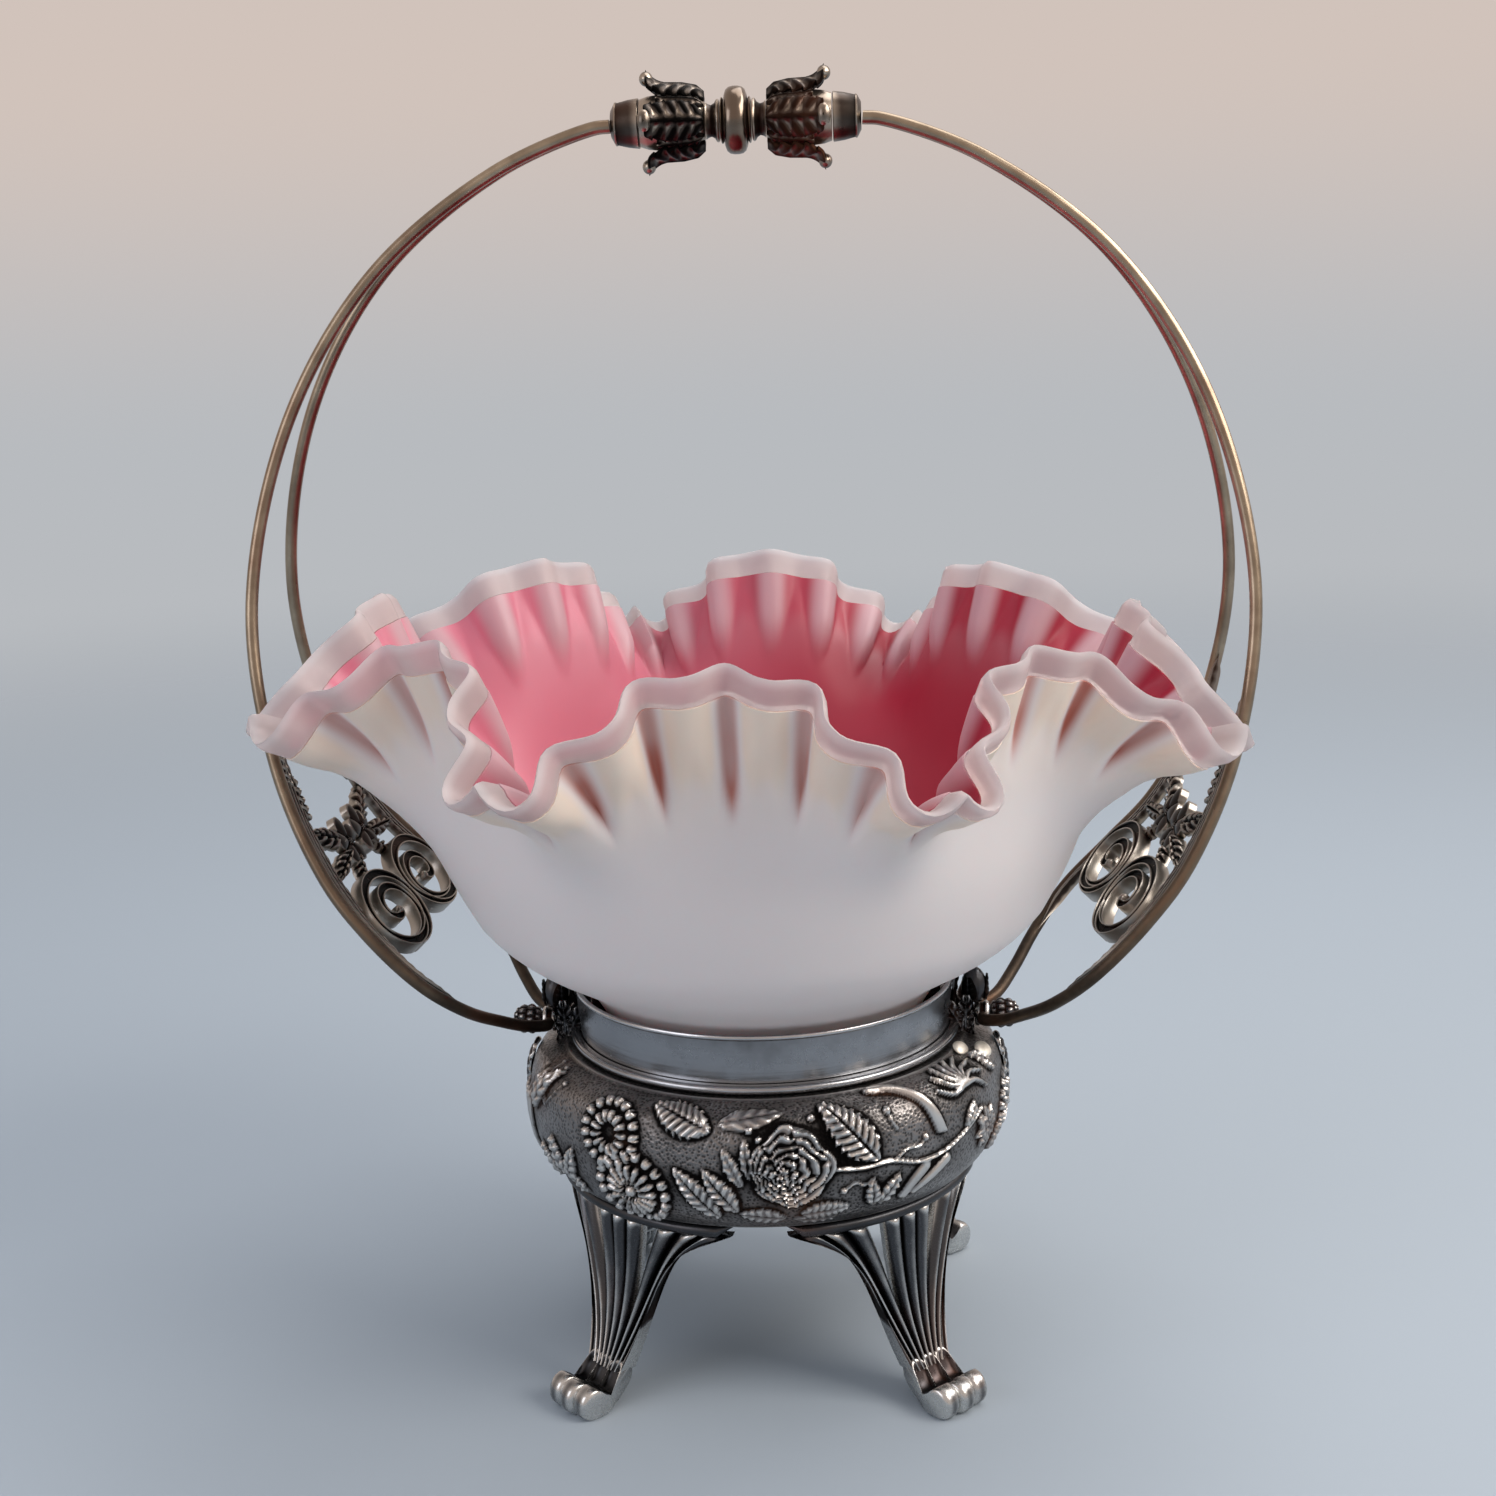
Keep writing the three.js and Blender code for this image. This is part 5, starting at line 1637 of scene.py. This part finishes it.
    def build(self, toned: Finish) -> None:
        """Builds the right panel, bends it to the hoop and turns a copy of it to the left."""
        stations = (self.scroll_place, self.flower_place, self.bud_place)
        scroll, flower, bud = (self.run_at(place) for place in stations)
        size = self.flower
        across = self.rail_edge(scroll) / 2
        reach = (flower - scroll - size) * 0.92
        parts = []
        for side in (-1, 1):
            rail = {run: side * self.rail_edge(run) for run in (flower + 9, flower - 5, bud)}
            leaves = (
                ((flower + 1, side * size * 1.3), (flower + 9, rail[flower + 9]), 6.5),
                ((flower - 2, side * size * 1.4), (flower - 5, rail[flower - 5]), 5),
                ((flower - size * 0.6, side * size), (scroll + reach - self.band, side * across), 4),
                ((bud - 9, rail[bud] - side * 0.5), (bud + 3, rail[bud] - side * 3.2), 4.2, 0),
                ((bud + 1, rail[bud] + side * 0.8), (bud + 12, rail[bud] - side * 0.4), 3.4, 0),
            )
            parts += [
                self.make_rail(side),
                self.make_scroll(scroll, side * across, (reach, across + 0.3), side),
                self.make_flower(flower, side * size * 0.97),
                *(self.make_leaf(*row) for row in leaves),
            ]
        panel = Bench.join("scroll_panel", parts)
        Bench.bend(panel, self.onto_hoop)
        Bench.shade(panel, 50)
        Bench.mark_edges(panel, 3.6, -0.16)
        Bench.pair(panel, toned, Slot.TONED, "handle", "side_panel")


@dataclass
class Grip:
    """The grip: a polished bead, slim necks, sleeves of acanthus leaves and plain ferrules."""

    height: float
    gap: float = 0.3
    bead: tuple[float, float] = (8.2, 3.8)
    neck: tuple[float, float] = (4.5, 3.3)
    sleeve: tuple[float, float] = (8.0, 16.0)
    flare: float = 2.7
    ferrule: Triple = (5.9, 7.0, 3.9)

    def turned(self, name: str, outline: Rows, start: float) -> Piece:
        """Turns a piece about the grip's line. Its outline is (distance, radius) from a start."""
        piece = Bench.turned(name, [(r, start + x) for x, r in outline], 64, Axis.X)
        Bench.bend(piece, lambda p: p + [0, 0, self.height])
        Bench.shade(piece, 45)
        Bench.mark_edges(piece, 1.6, -0.05)
        return piece

    def build(self, toned: Finish, bright: Finish) -> None:
        """Builds the grip.

        Args:
            toned: The finish of the sleeves, necks and ferrules.
            bright: The finish of the bead.
        """
        radius, half = self.bead
        rings = [
            (-1, 0), (-1, 0.6), (-0.97, 0.66), (-0.92, 0.69), (-0.85, 0.67), (-0.8, 0.62), (-0.76, 0.62),
            (-0.73, 0.76), (-0.62, 0.9), (-0.42, 0.975), (-0.15, 1),
        ]
        rings += [(-x, r) for x, r in rings[::-1]]
        bead = self.turned("polished_bead", [(x * half, r * radius) for x, r in rings], 0)
        Bench.settle(bead, bright, Slot.BRIGHT, "handle", "grip_bead")
        neck_start = half + self.gap
        sleeve_start = neck_start + self.neck[1] + self.gap
        ferrule_start = sleeve_start + self.sleeve[1] + self.gap
        neck = [
            (0, 0), (0, 1.1), (0.1, 1.16), (0.22, 1.12), (0.36, 0.94), (0.6, 0.84), (0.85, 0.9), (1, 1),
            (1, 0),
        ]
        neck = [(x * self.neck[1], r * self.neck[0]) for x, r in neck]
        r, length, tip = self.ferrule
        cap = [
            (0, 0), (0, r), (0.2, r * 1.03), (length * 0.4, r * 0.97), (length * 0.78, r * 0.86),
            (length * 0.8, r * 0.89), (length * 0.85, r * 0.89), (length * 0.87, r * 0.85),
            (length, tip * 0.86), (length, 0),
        ]
        finish = (toned, Slot.TONED, "handle")
        Bench.pair(self.turned("slim_neck", neck, neck_start), *finish, "grip_neck")
        Bench.pair(self.turned("tapered_ferrule", cap, ferrule_start), *finish, "grip_ferrule")
        Bench.pair(self.make_sleeve(sleeve_start), *finish, "grip_sleeve")

    def make_sleeve(self, start: float) -> Piece:
        """Builds a sleeve: a turned core that four toothed leaves lap and curl away from."""
        r, length = self.sleeve
        core = [(0, 0), (0, 0.6), (0.08, 0.74), (0.3, 0.84), (0.6, 0.86), (0.88, 0.8), (1, 0.72), (1, 0)]
        parts = [Bench.turned("core", [(s * r, start + x * length) for x, s in core], 48, Axis.X)]
        for eighth in range(8):
            lower = eighth % 2
            reach = length * (0.8 if lower else 0.97)
            width, rise, blunt = (4.6, 0.9, 0.1) if lower else (6.3, 1.7, 0.46)
            leaf = leaf_plate(
                "sleeve_leaf", reach, width, rise, teeth=5, tip=blunt, rows=44, columns=25, midrib=0.4
            )
            heading = math.radians(45 * eighth)

            def wrap(p: Array) -> Array:
                """Laps the leaf over the core and curls its tip outward."""
                share = np.clip(p[:, 0] / reach, 0, 1)
                body = r * np.interp(share, [0, 0.12, 0.35, 0.65, 1], [0.64, 0.84, 0.93, 0.95, 0.93])
                body -= 0.3 + 0.5 * lower
                curl = np.clip((share - 0.62) / 0.38, 0, 0.88) ** 1.3 * (1 - 0.75 * lower)
                height = p[:, 2] * (1 + 0.5 * smooth((share - 0.7) / 0.3))
                radius = body + (self.flare - 0.3) * curl + height
                angle = heading + p[:, 1] / (r * 1.05)
                x = start + p[:, 0] - 1.2 * np.clip((share - 0.85) / 0.15, 0, 1) ** 2
                return np.column_stack([x, radius * np.cos(angle), radius * np.sin(angle)])

            Bench.bend(leaf, wrap)
            parts.append(leaf)
            if not lower:
                tip = wrap(np.array([[reach - 0.6, 0, 0.9]]))[0]
                parts.append(Bench.lump("leaf_tip", tip, (1.7, 2.8, 1.8), (heading - math.pi / 2, 0, 0)))
        sleeve = Bench.join("acanthus_sleeve", parts)
        Bench.bend(sleeve, lambda p: p + [0, 0, self.height])
        Bench.shade(sleeve, 50)
        Bench.mark_edges(sleeve, 2.6, -0.08)
        return sleeve


@dataclass
class Pivots:
    """The handle's pivots: bosses on the drum, hubs, flower knobs, buds, tabs and hanging leaves."""

    drum: Drum
    pivot: float
    boss_radius: float = 3.4
    hub_radius: float = 3.4
    hub_length: float = 3.8
    pin_radius: float = 1.2
    knob_radius: float = 4.1
    tab_face: float = 49.95
    cheek_leaves: Rows = (
        (58, 12.5, -4.8), (88, 12.0, -5.0), (118, 11.5, -4.2), (-64, 8.5, 2.0), (-100, 7.5, 1.5),
    )
    solder_spots: tuple[tuple[float, float, Triple], ...] = (
        (75, 59.3, (2.5, 3.9, 1.0)), (70, 55.0, (2.2, 3.2, 0.9)),
    )

    def boss(self) -> Piece:
        """Builds the arch that carries a pivot, with eased edges and a raised ring."""
        (start, _, foot), (end, _, _) = box_mm("bracket_right")
        turn = np.linspace(0, np.pi, 25)
        arch = self.boss_radius * np.column_stack([np.cos(turn), np.sin(turn)]) + [0, self.pivot]
        base = self.boss_radius + 0.8
        outline = np.vstack([arch, [[-base, foot]], [[0, foot]], [[base, foot]], arch[:1]])
        middle = np.array([0.0, self.pivot - 0.6])
        steps = np.array([
            (0.001, start), (0.9, start), (1, start + 0.4), (1, end - 0.7), (0.92, end - 0.25), (0.84, end),
            (0.66, end), (0.6, end - 0.35), (0.3, end - 0.35), (0.001, end - 0.3),
        ])
        rings = middle + (outline - middle) * steps[:, :1, None]
        return Bench.sheet("pivot_boss", grid(steps[:, 1:], rings[..., 0], rings[..., 1]))

    def leafy_boss(self) -> Piece:
        """Builds the boss with the leaves that lap its front and back."""
        (start, _, _), (end, _, _) = box_mm("bracket_right")
        x = (start + end) / 2 - 0.8
        parts = [self.boss()]
        for side in (-1, 1):
            for lean, length, foot in self.cheek_leaves:
                leaf = leaf_plate(
                    "cheek_leaf", length, 2.9, 1.15, teeth=4, tip=0.3, rows=24, columns=15, midrib=0.35
                )
                c, s = math.cos(math.radians(lean)), math.sin(math.radians(lean))

                def wrap(p: Array) -> Array:
                    """Stands the leaf on the boss's side and curls its tip away."""
                    curl = 3.4 * np.clip(p[:, 0] / length - 0.45, 0, 1) + p[:, 2]
                    across = side * (self.boss_radius + 0.1 + curl)
                    out = np.minimum(x + p[:, 0] * c - p[:, 1] * s, end - 0.1)
                    return np.column_stack([out, across, self.pivot + foot + p[:, 0] * s + p[:, 1] * c])

                Bench.bend(leaf, wrap)
                Bench.weld(leaf)
                parts.append(leaf)
        return Bench.join("pivot_boss", parts)

    def solder(self, material: Finish) -> None:
        """Adds the two pale spots of solder on the shoulder in front of the right pivot."""
        outline = self.drum.outline()
        shoulder = outline[outline[:, 1] >= self.drum.high - 6]
        parts = []
        for bearing, radius, size in self.solder_spots:
            reach, level = shoulder[np.argmin(np.abs(shoulder[:, 0] - radius))] + [0.4, 0.5]
            turn = math.radians(bearing)
            place = (reach * math.sin(turn), -reach * math.cos(turn), level)
            parts.append(Bench.lump("solder_spot", place, size, (0, math.radians(34), turn - math.pi / 2)))
        spots = Bench.join("solder_spots", parts)
        Bench.shade(spots)
        Bench.mark(spots, "edge", np.ones(len(spots.data.vertices)))
        Bench.settle(spots, material, Slot.BRIGHT, "stand")

    def hub(self) -> Piece:
        """Turns a hub with its pin."""
        (start, _, _), (end, _, _) = box_mm("handle_hub_right")
        face = end - self.hub_length
        rings = [
            (0, start), (self.pin_radius, start), (self.pin_radius, face), (3.0, face),
            (self.hub_radius, face + 0.4), (self.hub_radius, face + 1.1), (2.9, face + 1.5),
            (2.9, face + 2.3), (self.hub_radius, face + 2.7), (self.hub_radius, end - 0.4), (3.0, end),
            (0, end),
        ]
        hub = Bench.turned("handle_eye", rings, 40, Axis.X)
        Bench.bend(hub, lambda p: p + [0, 0, self.pivot])
        return hub

    def knob(self) -> Piece:
        """Builds a flower knob: a button packed with small florets."""
        (start, _, _), (end, _, _) = box_mm("flower_knob_right")
        outline = (
            (0, 0), (0, 0.5), (0.08, 0.76), (0.28, 0.98), (0.5, 1), (0.72, 0.92), (0.88, 0.7),
            (0.97, 0.36), (1, 0),
        )
        line = spread_evenly(catmull(outline, 8), 40)
        row = np.arange(len(line))[:, None]
        x, r = line[:, :1], line[:, 1:]
        turn = np.linspace(0, 2 * np.pi, 97)[None]
        bead = np.abs(np.sin(row * np.pi / 5)) * np.abs(np.cos(6 * turn + (row // 5 % 2) * np.pi / 2))
        radius = r * self.knob_radius * (0.86 + 0.14 * bead)
        along = mix(start, end, x) - 0.35 * (1 - bead) * (x > 0.8)
        places = grid(along, radius * np.cos(turn), self.pivot + radius * np.sin(turn))
        return Bench.sheet("floret_knob", places)

    def bud(self) -> Piece:
        """Builds a bud held by three sheath leaves."""
        low, high = box_mm("bracket_bud_right")
        x, foot, tall = (low[0] + high[0]) / 2, low[2], (high[2] - low[2]) * 1.25
        radius = (high[0] - low[0]) / 2 * 1.12
        sheath = tall * 0.78
        shape = (
            (0, 0), (0.62, 0), (0.8, 0.12), (0.94, 0.3), (0.96, 0.48), (0.84, 0.68), (0.56, 0.87),
            (0.3, 0.96), (0, 1),
        )
        outline = [(r * radius * 0.94, foot + z * tall) for r, z in catmull(shape, 4)]
        parts = [Bench.turned("bud", outline, 40)]
        for third in range(3):
            leaf = leaf_plate("sheath", sheath, 2.6, 0.5, tip=0.3, rows=20, columns=11)

            def wrap(p: Array) -> Array:
                """Wraps the leaf round the bud."""
                share = np.clip(p[:, 0] / sheath, 0, 1)
                around = radius * np.interp(share, [0, 0.3, 0.6, 1], [0.7, 0.93, 0.9, 0.86]) + p[:, 2]
                return polar(around, math.radians(120 * third) + p[:, 1] / radius, foot + p[:, 0])

            Bench.bend(leaf, wrap)
            parts.append(leaf)
        bud = Bench.join("sheathed_bud", parts)
        Bench.bend(bud, lambda p: p + [x, 0, 0])
        return bud

    def tab(self) -> Piece:
        """Builds the pointed tab that laps the collar."""
        (_, _, foot), (_, half, top) = box_mm("collar_tab_right")
        tall = top - foot
        leaf = leaf_plate("collar_tab", tall, half, 0.95, teeth=4, tip=0.55, rows=26, columns=21)

        def wrap(p: Array) -> Array:
            """Wraps the leaf round the collar."""
            radius = self.tab_face + 1.35 * p[:, 0] / tall + p[:, 2] + 0.15
            return polar(radius, p[:, 1] / self.tab_face, foot + p[:, 0])

        Bench.bend(leaf, wrap)
        return leaf

    def hanging_leaf(self) -> Piece:
        """Builds the toothed leaf that hangs over the drum's shoulder."""
        (_, _, bottom), (_, half, top) = box_mm("shoulder_leaf_right")
        outline = self.drum.outline()
        line = outline[(outline[:, 1] <= top - 0.4) & (outline[:, 1] >= bottom + 0.1)][::-1]
        run = running_length(line)
        leaf = leaf_plate("hanging_leaf", float(run[-1]), half, 1.15, teeth=6, tip=0.12, rows=40, columns=23)
        tangent = unit_rows(np.gradient(line, axis=0))

        def wrap(p: Array) -> Array:
            """Lays the leaf over the drum's shoulder."""
            r, z, up, out = (np.interp(p[:, 0], run, values) for values in (*line.T, *tangent.T))
            height = p[:, 2] + 0.25
            return polar(r - out * height, p[:, 1] / r, z + up * height)

        Bench.bend(leaf, wrap)
        return leaf

    def build(self, silver: Finish, pale: Finish) -> None:
        """Builds every piece of both pivots.

        Args:
            silver: Their finish.
            pale: The finish of the solder.
        """
        self.solder(pale)
        for make, body, node in (
            (self.leafy_boss, "stand", "bracket"),
            (self.bud, "stand", "bracket_bud"),
            (self.tab, "stand", "collar_tab"),
            (self.hanging_leaf, "stand", "shoulder_leaf"),
            (self.hub, "handle", "handle_hub"),
            (self.knob, "handle", "flower_knob"),
        ):
            piece = make()
            Bench.shade(piece, 50)
            Bench.mark_edges(piece, 2.4, -0.18)
            Bench.pair(piece, silver, Slot.DARK, body, node)


@dataclass
class Studio:
    """A plain pale floor, soft light from the right and above, and the camera at the photograph's angle."""

    camera_place: Triple = (31.64, -564.47, 288.5)
    lamp_target: Triple = (0, 0, 0.13)
    heading: float = 3.43
    pitch: float = 12.44
    roll: float = 1.91
    lens: float = 52.94
    floor: Color = srgb(180, 190, 199)
    sky: Color = srgb(209, 195, 187)
    horizon: Color = srgb(184, 187, 191)

    def build(self) -> None:
        """Builds the camera, lights, floor and world."""
        self.add_camera()
        self.add_world()
        self.add_floor()
        self.add_lamp("key", (0.98, -0.46, 0.9), 0.7, 9.5, srgb(255, 248, 240))
        self.add_lamp("fill", (-0.95, -0.75, 0.6), 0.7, 3.0, srgb(240, 244, 255))
        self.add_lamp("top", (0.3, 0.4, 1.2), 0.8, 5.0, srgb(255, 252, 250))
        glint = self.add_lamp("glint", (0.95, 0.22, 0.88), 0.7, 10.0, srgb(255, 252, 248))
        glint.visible_diffuse = False
        bpy.context.scene.view_settings.view_transform = "Standard"

    def add_camera(self) -> None:
        """Adds the camera, turned by its heading, pitch and roll."""
        data = bpy.data.cameras.new("camera")
        data.lens = self.lens
        data.sensor_width = 36
        data.clip_start = 0.01
        camera = bpy.data.objects.new("camera", data)
        bpy.context.scene.collection.objects.link(camera)
        heading, pitch, roll = (math.radians(a) for a in (self.heading, self.pitch, self.roll))
        right = Vector((math.cos(heading), math.sin(heading), 0))
        level = Vector((-math.sin(heading), math.cos(heading), 0))
        forward = level * math.cos(pitch) - Vector((0, 0, math.sin(pitch)))
        above = right.cross(forward)
        rolled = right * math.cos(roll) - above * math.sin(roll)
        upright = right * math.sin(roll) + above * math.cos(roll)
        turn = Matrix((rolled, upright, -forward)).transposed().to_4x4()
        camera.matrix_world = Matrix.Translation(Vector(self.camera_place) * MM) @ turn
        bpy.context.scene.camera = camera

    def add_world(self) -> None:
        """Lights the scene evenly and shows a plain pale sky to the camera."""
        world = bpy.data.worlds.new("studio")
        world.use_nodes = True
        bpy.context.scene.world = world
        graph = Graph(world.node_tree)
        nodes = world.node_tree.nodes
        nodes.clear()
        rays = graph.add("ShaderNodeLightPath").outputs
        path = graph.math("MAXIMUM", rays["Is Camera Ray"], rays["Is Glossy Ray"])
        path = graph.math("MAXIMUM", path, rays["Is Transmission Ray"])
        direction = graph.add("ShaderNodeTexCoord").outputs["Generated"]
        height = graph.add("ShaderNodeSeparateXYZ", {0: direction}).outputs["Z"]
        dome = graph.blend(graph.ramp(height, -0.25, 0.7), srgb(108, 111, 117), srgb(216, 218, 224))
        soft = graph.add("ShaderNodeBackground", {"Color": dome, "Strength": 0.75})
        plain = graph.blend(graph.ramp(height, -0.08, 0.09), self.horizon, self.sky)
        seen = graph.add("ShaderNodeBackground", {"Color": plain, "Strength": 1.0})
        both = graph.add("ShaderNodeMixShader", {0: path, 1: soft.outputs[0], 2: seen.outputs[0]})
        graph.add("ShaderNodeOutputWorld", {0: both.outputs[0]})

    def add_floor(self) -> None:
        """Adds a floor that fades into the sky far from the object."""
        Bench.clear()
        bpy.ops.mesh.primitive_circle_add(vertices=96, radius=6.0, fill_type="NGON", location=(0, 0, 0))
        floor = bpy.context.object
        floor.name = "floor"
        material, graph, shader = new_material("pale_floor")
        shader.inputs["Base Color"].default_value = (*self.floor, 1)
        shader.inputs["Roughness"].default_value = 0.75
        shader.inputs["Specular IOR Level"].default_value = 0.2
        reach = graph.add("ShaderNodeVectorMath", {0: graph.place()}, operation="LENGTH").outputs["Value"]
        clear = graph.add("ShaderNodeBsdfTransparent")
        fade = {0: graph.ramp(reach, 0.45, 1.6), 1: shader.outputs[0], 2: clear.outputs[0]}
        both = graph.add("ShaderNodeMixShader", fade)
        graph.tree.links.new(both.outputs[0], graph.tree.nodes["Material Output"].inputs[0])
        floor.data.materials.append(material)

    def add_lamp(
        self, name: str, place: Triple, size: float, power: float, color: Color
    ) -> Piece:
        """Adds a square soft light that faces the basket.

        Args:
            name: Its name.
            place: Its place in metres.
            size: Its side in metres.
            power: Its power in watts.
            color: Its colour.

        Returns:
            The lamp.
        """
        data = bpy.data.lights.new(name, "AREA")
        data.energy = power
        data.size = size
        data.color = color
        lamp = bpy.data.objects.new(name, data)
        bpy.context.scene.collection.objects.link(lamp)
        aim = Vector(self.lamp_target) - Vector(place)
        lamp.matrix_world = Matrix.Translation(place) @ aim.to_track_quat("-Z", "Y").to_matrix().to_4x4()
        return lamp


class Silver(Enum):
    """The silver finishes: the slots' own, and those of pieces that wear differently."""

    BRIGHT = SilverFinish(
        "satin_silver", srgb(205, 206, 208), srgb(150, 152, 156), srgb(62, 62, 64),
        tarnish_amount=0.12, roughness=0.24, brush=(0.35, 0.35, 14), brush_depth=0.0001,
    )
    DARK = SilverFinish(
        "old_silver", srgb(206, 206, 204), srgb(76, 77, 80), srgb(13, 12, 12), roughness=0.27,
    )
    TONED = SilverFinish(
        "toned_silver", srgb(176, 164, 150), srgb(70, 63, 58), srgb(14, 12, 11), tarnish_amount=0.4,
    )
    PLATE = SilverFinish(
        "bare_plate", srgb(150, 147, 143), srgb(110, 107, 104), srgb(50, 48, 46),
        tarnish_amount=0.5, roughness=0.42, brush=(6, 0.6, 0.6),
    )
    STIPPLED = SilverFinish(
        "stippled_silver", srgb(206, 204, 201), srgb(142, 139, 138), srgb(18, 16, 16),
        tarnish=srgb(120, 84, 64), tarnish_amount=0.4, brush_depth=0.00005, stipple=7.0,
    )
    WIRE = SilverFinish(
        "hoop_wire_silver", srgb(206, 190, 166), srgb(122, 106, 90), srgb(44, 38, 34), tarnish_amount=0.6,
    )
    BEAD = SilverFinish(
        "bead_silver", srgb(150, 138, 126), srgb(112, 98, 86), srgb(40, 34, 30),
        tarnish_amount=0.5, roughness=0.22,
    )
    CAST = SilverFinish(
        "cast_silver", srgb(158, 152, 144), srgb(54, 49, 46), srgb(10, 9, 9), roughness=0.34,
    )
    SOLDER = SilverFinish(
        "pale_solder", srgb(236, 230, 218), srgb(214, 207, 194), srgb(120, 112, 102),
        tarnish_amount=0.1, roughness=0.5,
    )


def dress_frame(materials: dict[Slot, Finish]) -> None:
    """Gives every solid of the frame the material of its slot."""
    slots = {row["node"]: Slot(row["material_slot"]) for row in frame["record"]["subparts"]}
    for name, node in frame["nodes"].items():
        node.data.materials.clear()
        node.data.materials.append(materials[slots[name]])


def main() -> None:
    """Builds the basket piece by piece and sets up the studio."""
    logging.basicConfig(level=logging.INFO, format="%(message)s")
    Bench.clear()
    patina = patina_group()
    silver = {finish: finish.value.build(patina) for finish in Silver}
    cased, frosted = GlassFinish().build(), FrostFinish().build()
    dress_frame({
        Slot.BRIGHT: silver[Silver.BRIGHT],
        Slot.DARK: silver[Silver.DARK],
        Slot.TONED: silver[Silver.TONED],
        Slot.PLATE: silver[Silver.PLATE],
        Slot.CASED: cased,
        Slot.FROSTED: frosted,
    })
    Studio().build()
    drum, hoop = Drum(), Hoop()
    drum.build(silver[Silver.STIPPLED])
    hoop.build(silver[Silver.WIRE])
    SidePanels(hoop).build(silver[Silver.CAST])
    Grip(hoop.grip).build(silver[Silver.TONED], silver[Silver.BEAD])
    Pivots(drum, hoop.pivot).build(silver[Silver.DARK], silver[Silver.SOLDER])
    Legs().build(silver[Silver.DARK])
    Collar().build(silver[Silver.DARK], silver[Silver.BRIGHT])
    RuffledBowl().build(cased, frosted)


if __name__ == "__main__":
    main()
